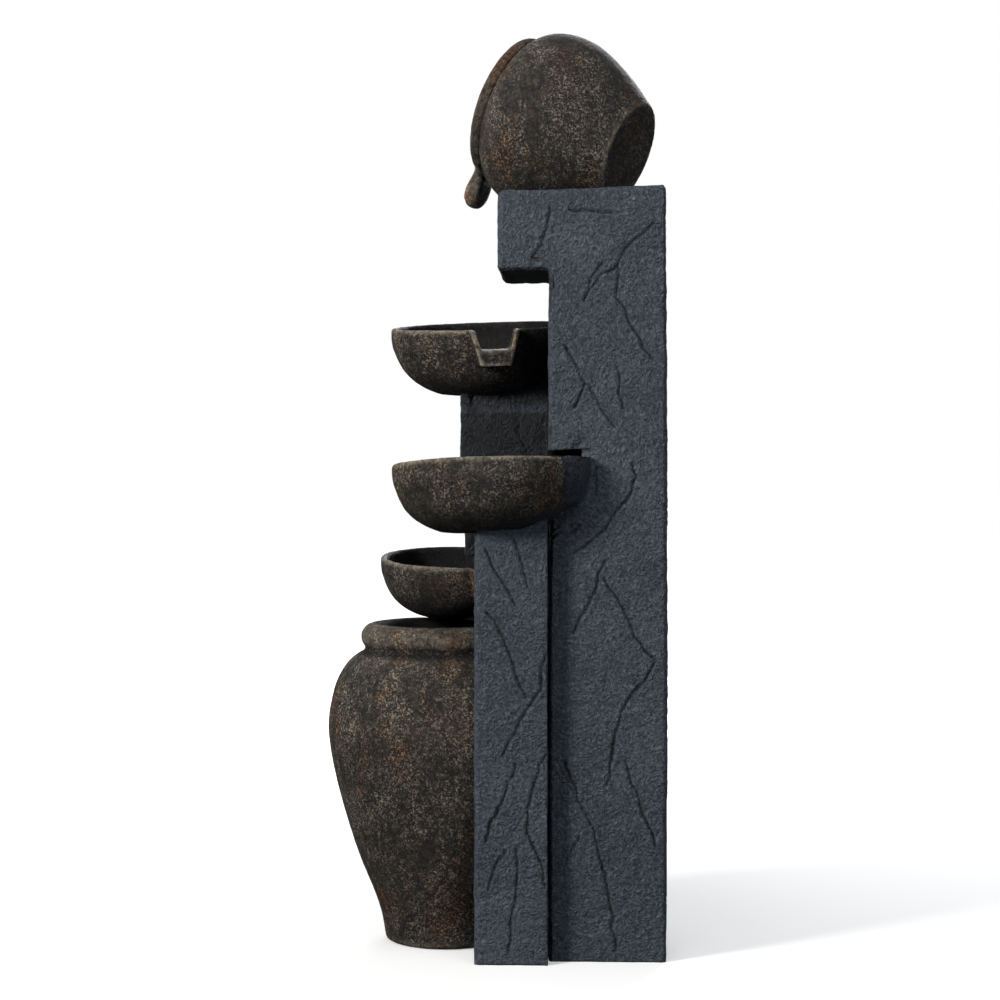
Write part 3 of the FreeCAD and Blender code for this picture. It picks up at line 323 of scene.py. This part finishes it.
def floor_material():
    """Painted studio floor, off white, with a barely visible roller texture. It glows more
    the farther out it is, so that it runs into the white behind it."""
    material, tree, shader = start_material("paint_matt_rolled_white", 0.8)
    where = place(tree)
    cloud = ramp(tree, grain(tree, where, 600), 0.3, 0.7)
    tone = mix_colour(tree, cloud, linear(0xF6F6F5), linear(0xF2F2F1))
    tree.links.new(tone, shader.inputs["Base Color"])
    away = add(tree, "ShaderNodeVectorMath", {"Vector": where}, operation="LENGTH").outputs["Value"]
    tree.links.new(ramp(tree, away, 0.3, 2.4, 0.3, 1.0), shader.inputs["Emission Strength"])
    shader.inputs["Emission Color"].default_value = (1, 1, 1, 1)
    bump(tree, shader, grain(tree, where, 6), 0.1, 0.3)
    return material


# ---------------------------------------------------------------- mesh helpers
def piece_from(bm, name, material=None):
    """Turns the worked mesh into a smooth-shaded object of the scene."""
    mesh = bpy.data.meshes.new(name)
    bm.to_mesh(mesh)
    bm.free()
    made = bpy.data.objects.new(name, mesh)
    bpy.context.scene.collection.objects.link(made)
    if material:
        mesh.materials.append(material)
    for face in mesh.polygons:
        face.use_smooth = True
    return made


def merged_copy(node):
    """The node's shape as one welded mesh, ready to be worked on."""
    bm = bmesh.new()
    bm.from_mesh(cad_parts[node].data)
    bmesh.ops.remove_doubles(bm, verts=bm.verts, dist=0.004 * MM)
    return bm


def points_of(bm):
    return np.array([v.co[:] for v in bm.verts])


def place_points(bm, points):
    for vertex, point in zip(bm.verts, points):
        vertex.co = point


def normals_of(bm):
    bm.normal_update()
    return np.array([v.normal[:] for v in bm.verts])


def lumps(points, size_mm, seed):
    """Smooth noise in -1..1 at each point, with lumps of about size_mm."""
    shift = Vector((seed * 7.31, seed * 3.77, seed * 5.19))
    scale = 1000 / size_mm
    return np.array([noise.noise(Vector(p) * scale + shift) for p in points.tolist()])


def folds(points, size_mm, seed):
    """Rounded lumps of about size_mm that meet in creases: 0 in a crease, 1 on a lump."""
    return np.minimum(np.abs(lumps(points, size_mm, seed)) / 0.42, 1)


def step(values, low, high):
    """0 up to low, 1 from high on, and a smooth rise between."""
    t = np.clip((values - low) / (high - low), 0, 1)
    return t * t * (3 - 2 * t)


def relax(bm, chosen, rounds):
    """Evens out the chosen vertices, each round halfway to the middle of their neighbours."""
    for _ in range(rounds):
        bmesh.ops.smooth_vert(bm, verts=chosen, factor=0.5, use_axis_x=True, use_axis_y=True, use_axis_z=True)


def store(piece, name, values):
    layer = piece.data.attributes.new(name, "FLOAT", "POINT")
    layer.data.foreach_set("value", np.asarray(values, np.float32))


def bulge(mesh):
    """How far each vertex stands out from its neighbours, evened out: rims and edges high."""
    count = len(mesh.vertices)
    co = np.empty(count * 3)
    mesh.vertices.foreach_get("co", co)
    co = co.reshape(-1, 3)
    no = np.array([n.vector[:] for n in mesh.vertex_normals])
    ends = np.empty(len(mesh.edges) * 2, int)
    mesh.edges.foreach_get("vertices", ends)
    a, b = ends.reshape(-1, 2).T
    links = np.bincount(a, minlength=count) + np.bincount(b, minlength=count)

    def around(values):
        total = np.zeros_like(values)
        np.add.at(total, a, values[b])
        np.add.at(total, b, values[a])
        return (total.T / np.maximum(links, 1)).T

    out = np.einsum("ij,ij->i", co - around(co), no)
    for _ in range(3):
        out = 0.5 * out + 0.5 * around(out)
    return out


def finish_piece(piece, node, body="fountain"):
    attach(piece, body)
    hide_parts(node)


# ---------------------------------------------------------------- pots
def remeshed(bm, name, voxel_mm):
    """An even, closed skin over the shape, with its hard corners softened as casting does."""
    rough = piece_from(bm, name + "_rough")
    skin = rough.modifiers.new("skin", "REMESH")
    skin.mode = "VOXEL"
    skin.voxel_size = voxel_mm * MM
    view = bpy.context.evaluated_depsgraph_get()
    out = bmesh.new()
    out.from_mesh(rough.evaluated_get(view).to_mesh())
    bpy.data.objects.remove(rough)
    return out


def make_pot(node, voxel_mm, material, seed, sway_mm, masks, swell=None, limp=None):
    """A cast pot: even skin, hand-made sway of the walls, worn rims, own paint and painted-shade masks.
    masks maps a mask's name to a function of the points and normals; swell gives a further
    push outwards in millimetres, and limp says which points are smoothed right down."""
    bm = remeshed(merged_copy(node), node, voxel_mm)
    relax(bm, bm.verts, 2)
    points, normals = points_of(bm), normals_of(bm)
    push = sway_mm * lumps(points, 55, seed)
    push += 0.22 * lumps(points, 9, seed + 1) + 0.14 * lumps(points, 4.2, seed + 2)
    if swell:
        push += swell(points, normals)
    place_points(bm, points + normals * (push * MM)[:, None])
    if limp:
        relax(bm, [v for v, soft in zip(bm.verts, limp(points)) if soft], 30)
    piece = piece_from(bm, node + "_cast", material)
    worn = np.clip(bulge(piece.data) / (0.11 * MM * voxel_mm), 0, 1)
    for name in ("wear", "inside", "painted_shade", "slate"):
        mask = masks[name](points, normals) if name in masks else np.zeros(len(points))
        store(piece, name, np.maximum(mask, worn) if name == "wear" else mask)
    finish_piece(piece, node)


class Bowl:
    """A bowl's own frame, from its rim's centre and its tilts, with its outside profile: at
    each share of the radius, the share of the depth."""
    radii = [0.5, 0.73, 0.873, 0.955, 0.991, 1.0]
    depths = [1.0, 0.845, 0.65, 0.416, 0.25, 0.12]

    def __init__(self, at, radius, depth, tilt_y, tilt_x):
        self.at, self.radius, self.depth = np.array(at) * MM, radius * MM, depth * MM
        lean, pitch = Matrix.Rotation(radians(tilt_y), 3, "Y"), Matrix.Rotation(radians(tilt_x), 3, "X")
        self.turn = np.array(pitch @ lean)

    def local(self, points):
        return (points - self.at) @ self.turn

    def world(self, points):
        return points @ self.turn.T + self.at

    def underside(self, points):
        """Height of the bowl's underside above each point, and whether it is over the point."""
        at = points.copy()
        for _ in range(4):
            own = self.local(at)
            share = np.hypot(own[:, 0], own[:, 1]) / self.radius
            at[:, 2] -= own[:, 2] + np.interp(share, self.radii, self.depths) * self.depth
        return at[:, 2], share < 0.985


def heading(turn, rise):
    """Unit vector that faces front, turned to the left and raised by so many degrees."""
    turn, rise = radians(turn), radians(rise)
    return np.array((-sin(turn) * cos(rise), -cos(turn) * cos(rise), sin(rise)))


JUG_AXIS = heading(23, 22)      # the way the jug's mouth points
UPPER = Bowl((-76.4, -13.0, 686.5), 110, 77, 5.4, 1.5)
MIDDLE = Bowl((82.8, -6.0, 531.0), 103.6, 74, -4.0, 2.0)


def cradled(bowl, low):
    """Raises a pillar's top to meet its bowl, as the two were puttied together."""
    def shape(points, normals):
        moved = points.copy()
        height, over = bowl.underside(points)
        top = step(points[:, 2], low * MM, (low + 5) * MM) * step(normals[:, 2], 0.2, 0.7) * over
        rise = np.clip(height - 0.4 * MM - points[:, 2], 0, 16 * MM)
        moved[:, 2] += rise * top
        return moved
    return shape


def facing_axis(axis_point, axis=(0, 0, 1)):
    """1 where a face looks back at the pot's own axis, 0 where it looks away."""
    centre, along = np.array(axis_point), np.array(axis) / np.linalg.norm(axis)

    def share(co, normals):
        out = co - centre
        out = out - np.outer(out @ along, along)
        out /= np.linalg.norm(out, axis=1)[:, None] + 1e-9
        side = -np.einsum("ij,ij->i", out, normals)
        return step(side + 0.6 * (normals @ along), 0.25, 0.75)
    return share


def under_shade(strength):
    """Undersides are painted darker: painted shade, as little light reaches them."""
    def share(co, normals):
        return strength * step(-normals[:, 2], 0.35, 0.95)
    return share


def middle_of(node):
    low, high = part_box(node)
    return (low + high) / 2


def make_pots():
    paint = bronze_resin()

    def upper_shade(co, normals):
        """The quarter of the upper bowl behind its spout, by the tower, is painted near black: painted shade.
        """
        behind = step(co[:, 1] + 0.004 * lumps(co, 20, 5), 0.018, 0.034) * step(normals[:, 0], 0.1, 0.4)
        return np.maximum(behind, under_shade(0.6)(co, normals))

    def lower_shade(co, normals):
        # Painted shade on the undersides and darker towards the bottom of the bowl.
        return np.maximum(under_shade(0.9)(co, normals), 0.7 * step(0.392 - co[:, 2], 0.0, 0.02))

    def middle_slate(co, normals):
        """The slate spray laps over the bowl's back and the side of its underside."""
        edge = co + 0.003 * lumps(co, 16, 77)[:, None]
        below = step(0.465 + 0.32 * (edge[:, 1] - 0.009) - edge[:, 2], -0.001, 0.003)
        outside = 1 - facing_axis(middle_of("middle_bowl"))(co, normals)
        return np.maximum(step(edge[:, 1], 0.081, 0.085), below) * outside

    make_pot("urn", 2.5, paint, 11, 0.9, {"inside": urn_inside, "painted_shade": urn_groove})
    make_pot("upper_bowl", 1.7, paint, 21, 0.7,
             {"inside": facing_axis(middle_of("upper_bowl")), "painted_shade": upper_shade})
    make_pot("middle_bowl", 1.7, paint, 31, 0.7,
             {"inside": facing_axis(middle_of("middle_bowl")), "painted_shade": under_shade(0.6),
              "slate": middle_slate})
    make_pot("lower_bowl", 1.5, paint, 41, 0.6,
             {"inside": facing_axis(middle_of("lower_bowl")), "painted_shade": lower_shade})
    make_pot("jug", 1.8, paint, 51, 0.8,
             {"inside": facing_axis(middle_of("jug"), JUG_AXIS), "painted_shade": jug_shade,
              "wear": jug_base_edge})
    make_pot("jug_lip", 1.5, paint, 61, 0.5, {"painted_shade": lip_shade}, fat_tongue,
             lambda points: points[:, 2] < 0.858)


def lip_shade(co, normals):
    """The rolled lip is painted darker than its tongue, and its undersides get painted shade."""
    return np.maximum(0.5 * step(co[:, 2], 0.852, 0.866), under_shade(0.5)(co, normals))


def fat_tongue(co, normals):
    """The pouring tongue is rounded like a drop, thickest near its tip."""
    flat = np.abs(normals @ JUG_AXIS)
    return 1.0 + 4.5 * step(0.856 - co[:, 2], 0, 0.02) * step(flat, 0.1, 0.8)


def urn_inside(co, normals):
    """The urn's inside and the inner side of its mouth are painted near black: painted shade."""
    centre = middle_of("urn")
    radius = np.hypot(co[:, 0] - centre.x, co[:, 1] - centre.y)
    mouth = step(0.079 - radius, 0, 0.005) * step(co[:, 2], 0.29, 0.3)
    return np.maximum(facing_axis(centre)(co, normals), mouth)


def urn_groove(co, normals):
    """Painted shade in the groove under the rim, deep inside the urn and at the foot."""
    groove = np.exp(-((co[:, 2] - 0.3215) / 0.0035) ** 2)
    inner = 0.9 * urn_inside(co, normals) * step(co[:, 2], 0.02, 0.05)
    return np.maximum(np.maximum(0.8 * groove, inner), 0.4 * step(0.02 - co[:, 2], 0, 0.02))


def jug_shade(co, normals):
    """The jug's base and underside are painted darker than its shoulder: painted shade."""
    base = step(-(normals @ JUG_AXIS), 0.9, 0.97)
    return np.maximum(0.3 * base, 0.5 * step(-normals[:, 2], 0.55, 1.0))


def jug_base_edge(co, normals):
    """A thin line rubbed bright round the edge of the jug's base, most of it low down."""
    depth, lean = co @ JUG_AXIS, -(normals @ JUG_AXIS)
    near = step(0.012 - (depth - depth.min()), 0, 0.006)
    line = np.exp(-((lean - 0.86) / 0.06) ** 2)
    return 0.95 * near * line * step(0.93 - co[:, 2], -0.01, 0.05)


# ---------------------------------------------------------------- slate pillars
NEAR_X = 0.110          # the tower's right-hand face
COLLAR_R, COLLAR_DEPTH = 114.1, 84.5    # the slate collar that holds the middle bowl

# Crack routes on the right-hand faces, as (y, z) in millimetres.
TOWER_CRACKS = [
    [(63, 801), (58, 782), (52, 764), (38, 744)],
    [(81, 797), (105, 796), (128, 795)],
    [(171, 784), (142, 757), (135, 744), (132, 724), (132, 706), (146, 680), (170, 640)],
    [(132, 740), (116, 730), (103, 716), (97, 703)],
    [(119, 745), (107, 728), (102, 712)],
    [(77, 654), (99, 615), (87, 589)],
    [(102, 610), (130, 568)],
    [(131, 633), (139, 588)],
    [(150, 531), (152, 517), (144, 496), (126, 470), (109, 450), (86, 434)],
    [(120, 427), (109, 398), (100, 375), (86, 349)],
    [(120, 407), (138, 375), (150, 348), (173, 320), (169, 309), (150, 290), (138, 266), (130, 242),
     (127, 214)],
    [(75, 211), (105, 145), (116, 109), (125, 64), (130, 11)],
    [(131, 235), (121, 187)],
    [(139, 216), (165, 150), (173, 123)],
    [(92, 133), (79, 104)],
    [(108, 536), (108, 521), (106, 509), (102, 494), (92, 473), (75, 457), (62, 450)],
    [(112, 528), (111, 514), (108, 500), (102, 487)],
    [(97, 466), (86, 455), (74, 447)],
]
PILLAR_CRACKS = [
    [(-6, 437), (13, 402), (25, 379)],
    [(25, 451), (32, 416), (39, 397)],
    [(-4, 373), (15, 341), (36, 282)],
    [(57, 328), (50, 292), (21, 244), (11, 220)],
    [(26, 214), (7, 165), (-7, 129)],
    [(56, 223), (41, 182), (38, 141), (51, 107), (56, 83)],
    [(13, 122), (-4, 79)],
    [(26, 124), (26, 92), (21, 49), (17, 13)],
]


def softened(route, rng, wobble=0.8, stride=5):
    """The route with a point every few millimetres, each a little off the straight line."""
    out = []
    for a, b in zip(route, route[1:]):
        steps = max(1, int((b - a).length / (stride * MM)))
        for k in range(steps):
            sway = Vector([rng.uniform(-wobble, wobble) * MM for _ in range(3)])
            out.append(a.lerp(b, k / steps) + sway)
    return out + [route[-1]]


def wander(rng, start, side, lean, length):
    """A crack that drops down a face from start, swaying along side."""
    route, at, tilt = [start], start.copy(), lean
    while length > 0:
        stride = rng.uniform(18, 42) * MM
        tilt = 0.65 * tilt + 0.35 * lean + rng.uniform(-0.35, 0.35)
        at = at + (side * tilt + Vector((0, 0, -1))).normalized() * stride
        route.append(at.copy())
        length -= stride
    return route


def face_cracks(rng, corner, side, width, height, count):
    """Random cracks over an upright face that starts at corner and runs along side."""
    out = []
    for _ in range(count):
        across = side * (width * rng.uniform(0.1, 0.9))
        at = corner + across + Vector((0, 0, height * rng.uniform(0.1, 0.98)))
        lean = rng.choice((-1, 1)) * rng.uniform(0.35, 0.9)
        out.append(wander(rng, at, side, lean, rng.uniform(50, 190) * MM))
    return out


def near_routes(points, routes, reach):
    """Distance of each point from the nearest crack, where that is under reach."""
    best = np.full(len(points), reach)
    for route in routes:
        corners = np.array([p[:] for p in route])
        low, high = corners.min(0) - reach, corners.max(0) + reach
        close = np.where(((points > low) & (points < high)).all(1))[0]
        if not len(close):
            continue
        p = points[close]
        for a, b in zip(corners, corners[1:]):
            run = b - a
            t = np.clip((p - a) @ run / (run @ run + 1e-12), 0, 1)
            gap = np.linalg.norm(p - a - t[:, None] * run, axis=1)
            best[close] = np.minimum(best[close], gap)
    return best


def halve_long_edges(bm, wanted, longest, passes):
    """Cuts every wanted edge in two, over and over, until none is longer than longest."""
    for _ in range(passes):
        chosen = [e for e in bm.edges if e.calc_length() > longest and wanted(e)]
        if not chosen:
            return
        bmesh.ops.subdivide_edges(bm, edges=chosen, cuts=1, use_grid_fill=True)


def cut_in_bands(bm, low, high, pitch, keep):
    """Slices the outer faces into squares of about pitch, so that they halve evenly."""
    for axis in range(3):
        normal = Vector([float(k == axis) for k in range(3)])
        count = max(1, round((high[axis] - low[axis]) / pitch))
        for k in range(1, count):
            at = low.lerp(high, k / count)
            faces = [f for f in bm.faces if keep(f.calc_center_median())]
            geometry = set(faces)
            for f in faces:
                geometry.update(f.edges)
                geometry.update(f.verts)
            bmesh.ops.bisect_plane(bm, geom=list(geometry), plane_co=at, plane_no=normal, dist=1e-7)


def on_front(node, p):
    """The tower's head and collar stand out past its shaft, whose faces count as outer too."""
    return node == "tower_shell" and (p.y < 0.0665 or p.x > 0.1085)


def make_pillar(node, material, routes, seed, near_x, pitch_mm, shape, painted_shade):
    """A cast pillar: its outer faces squared up finely, swayed, wrinkled and cracked. The face
    at near_x is cut twice as fine as the rest, and the inner faces stay as they are."""
    bm = merged_copy(node)
    bmesh.ops.dissolve_limit(bm, angle_limit=radians(0.3), verts=bm.verts, edges=bm.edges)
    low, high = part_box(node)
    wall = 6.5 * MM

    def outer(p):
        inside_x = low.x + wall < p.x < near_x - wall
        inside_y = low.y + wall < p.y < high.y - wall
        return not (inside_x and inside_y and p.z < high.z - 30 * MM) or on_front(node, p)

    def middle(e):
        return (e.verts[0].co + e.verts[1].co) / 2

    pitch = pitch_mm * MM
    cut_in_bands(bm, low, high, pitch, outer)
    halve_long_edges(bm, lambda e: outer(middle(e)), 0.16 * pitch, 3)
    halve_long_edges(bm, lambda e: middle(e).x > near_x - 7 * MM and outer(middle(e)), 0.08 * pitch, 1)
    gap = near_routes(points_of(bm), routes, 4 * MM)
    bm.verts.index_update()
    close = {v for v in bm.verts if gap[v.index] < 3 * MM}
    halve_long_edges(bm, lambda e: e.verts[0] in close and e.verts[1] in close, 1.7 * MM, 1)

    points, normals = points_of(bm), normals_of(bm)
    gap = near_routes(points, routes, 7 * MM)
    half_width = (1.6 + 0.6 * lumps(points, 22, seed + 6)) * MM
    groove = np.clip(1 - gap / half_width, 0, 1)
    shoulder = np.exp(-((gap - 3.4 * MM) / (1.5 * MM)) ** 2)
    corner = np.clip((0.985 - np.abs(normals).max(1)) / 0.2, 0, 1)
    push = 0.9 * lumps(points, 80, seed) + 0.45 * lumps(points, 24, seed + 1)
    push += 0.6 * (folds(points, 19, seed + 2) - 1) + 0.4 * (folds(points, 8, seed + 3) - 1)
    push += 0.3 * lumps(points, 5, seed + 5)
    push -= corner * (0.4 + 1.7 * np.clip(lumps(points, 16, seed + 4), 0, 1))
    push += -1.9 * np.sqrt(groove) + 0.4 * shoulder
    moved = points + normals * (push * MM)[:, None]
    moved = shape(moved, normals)
    skin = np.array([outer(Vector(p)) for p in points.tolist()])
    moved = np.where(skin[:, None], moved, points)
    moved[:, 2] = np.where(points[:, 2] < 0.5 * MM, points[:, 2], np.maximum(moved[:, 2], 0))
    place_points(bm, moved)
    piece = piece_from(bm, node + "_cast", material)
    store(piece, "crack", groove)
    # The shade mask marks where the slate is painted darker as painted shade.
    store(piece, "painted_shade", painted_shade(points, normals))
    finish_piece(piece, node)


def make_pillars():
    slate = slate_resin()
    rng = random.Random(7)
    tower_lo, tower_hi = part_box("tower_shell")
    right_lo, right_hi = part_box("right_pillar")
    left_lo, left_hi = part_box("left_pillar")
    along_y, along_x = Vector((0, 1, 0)), Vector((1, 0, 0))

    def on_side(routes, x):
        drawn = [[Vector((x, y * MM, z * MM)) for y, z in route] for route in routes]
        crooked = [softened(softened(route, rng, 2.2, 13), rng) for route in drawn]
        return [[Vector((x, p.y, p.z)) for p in route] for route in crooked]

    tower = on_side(TOWER_CRACKS, NEAR_X)
    tower += face_cracks(rng, Vector((tower_lo.x, tower_hi.y, 0)), along_x, NEAR_X - tower_lo.x, 0.8, 20)
    tower += face_cracks(rng, Vector((tower_lo.x, 0.059, 0)), along_y, 0.12, 0.8, 12)
    tower += face_cracks(rng, Vector((tower_lo.x, 0.059, 0)), along_x, 0.17, 0.72, 8)
    tower += face_cracks(rng, Vector((tower_lo.x, 0.005, 0.74)), along_x, 0.17, 0.08, 3)
    tower = [softened(route, rng, 0.6) if len(route) < 12 else route for route in tower]
    right = on_side(PILLAR_CRACKS, right_hi.x)
    right += face_cracks(rng, Vector((right_lo.x, right_lo.y, 0)), along_x, 0.075, 0.45, 7)
    right = [softened(route, rng, 0.6) if len(route) < 12 else route for route in right]
    left = face_cracks(rng, Vector((left_lo.x, left_lo.y, 0)), along_x, 0.12, 0.6, 6)
    left += face_cracks(rng, Vector((left_lo.x, -0.0365, 0)), along_x, 0.12, 0.48, 6)
    left += face_cracks(rng, Vector((left_lo.x, -0.036, 0)), along_y, 0.09, 0.6, 9)
    left += face_cracks(rng, Vector((left_hi.x, -0.036, 0.44)), along_y, 0.09, 0.16, 4)
    left += face_cracks(rng, Vector((left_lo.x, left_hi.y, 0)), along_x, 0.07, 0.6, 6)
    left = [softened(route, rng, 0.6) for route in left]

    def tower_shape(points, normals):
        """The back swells a little at half its height, and the collar round the middle bowl
        thins out towards the front until it runs into the bowl."""
        moved = points.copy()
        height = points[:, 2] / tower_hi.z
        moved[:, 1] -= np.clip(normals[:, 1], 0, 1) * 5.6 * MM * np.abs(height - 0.5) ** 1.6
        side = step(points[:, 0], NEAR_X + 0.2 * MM, NEAR_X + 2 * MM)
        thin = (1 - step(points[:, 1], 0.076, 0.102)) * side
        narrow, shallow = 103.6 / COLLAR_R, 74 / COLLAR_DEPTH
        shrunk = MIDDLE.local(points) * np.array([narrow, narrow, shallow]) * 0.994
        onto = MIDDLE.world(shrunk)
        moved = moved + (onto - moved) * thin[:, None]
        moved[:, 0] = np.where(side > 0, np.maximum(moved[:, 0], NEAR_X), moved[:, 0])
        return moved

    def under(points, normals):
        """Undersides are painted dark: painted shade."""
        return 0.85 * step(-normals[:, 2], 0.3, 0.8)

    def tower_painted_shade(points, normals):
        """Painted shade on undersides, on the collar round the bowl, and down the joint with
        the right-hand pillar."""
        bowl = MIDDLE.local(points)
        reach = np.hypot(bowl[:, 0], bowl[:, 1])
        round_bowl = step(-bowl[:, 2], -0.012, 0.0) * step(0.1215 - reach, 0, 0.006)
        collar = 0.55 * round_bowl * step(points[:, 0], 0.1105, 0.112)
        joint = step(0.064 - points[:, 1], 0, 0.004) * step(points[:, 0], 0.1, 0.105)
        joint *= step(0.46 - points[:, 2], 0, 0.01)
        return np.maximum(np.maximum(under(points, normals), collar), joint)

    def left_painted_shade(points, normals):
        """The side that faces the middle of the fountain is painted dark as painted shade from
        the tower, but for a paler band just under the bowl's cradle, a painted highlight."""
        ledge = points[:, 2] + 0.002 * lumps(points, 14, 8)
        # Painted shade over the face, eased into a painted highlight band just under the cradle.
        lee = 1.0 - 0.5 * np.exp(-((ledge - 0.590) / 0.0045) ** 2)
        return np.maximum(under(points, normals), lee * step(normals[:, 0], 0.2, 0.7))

    make_pillar("tower_shell", slate, tower, 3, NEAR_X, 26, tower_shape, tower_painted_shade)
    make_pillar("right_pillar", slate, right, 5, right_hi.x, 24, cradled(MIDDLE, 444), under)
    make_pillar("left_pillar", slate, left, 9, left_hi.x, 26, cradled(UPPER, 603), left_painted_shade)


# ---------------------------------------------------------------- small CAD pieces
def dress_small_parts():
    black = moulded("abs_moulded_black", 0x1B1C1E, 0.45)
    white = moulded("nylon_moulded_natural", 0xCFCDC4, 0.42)
    rubber = moulded("epdm_rubber_moulded", 0x18191A, 0.7, 0.6, 0.04)
    magnet = moulded("ferrite_overmoulded_grey", 0x3A3B3E, 0.5)
    door = moulded("abs_moulded_charcoal", 0x3B4148, 0.6, 1.4, 0.18)
    steel = metal("steel_stainless_turned", 0xB9BABB, 0.3)
    shaft = metal("steel_ground_bright", 0xC9CACB, 0.18)
    hose = vinyl_hose()
    finishes = {
        "pump_body": black, "pump_cover": black, "pump_strainer": black, "flow_dial": black,
        "pump_rotor": magnet, "rotor_shaft": shaft, "jug_inlet": white, "jug_nut": white,
        "hose_clips": white, "jug_gasket": rubber, "urn_hose_grommet": rubber, "suction_cups": rubber,
        "door_seal": rubber, "cord_grommet": rubber, "drain_plug": rubber, "riser_hose": hose,
        "hose_clamps": steel, "bowl_bolts": steel, "bowl_washers": steel, "bowl_nuts": steel,
        "lower_bowl_bolt": steel, "pillar_bolts": steel, "wall_nuts": steel, "service_door": door,
        "lower_bowl_spacer": black,
    }
    for node, finish in finishes.items():
        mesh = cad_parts[node].data
        mesh.materials.clear()
        mesh.materials.append(finish)


place_camera()
build_stage()
make_pots()
make_pillars()
dress_small_parts()
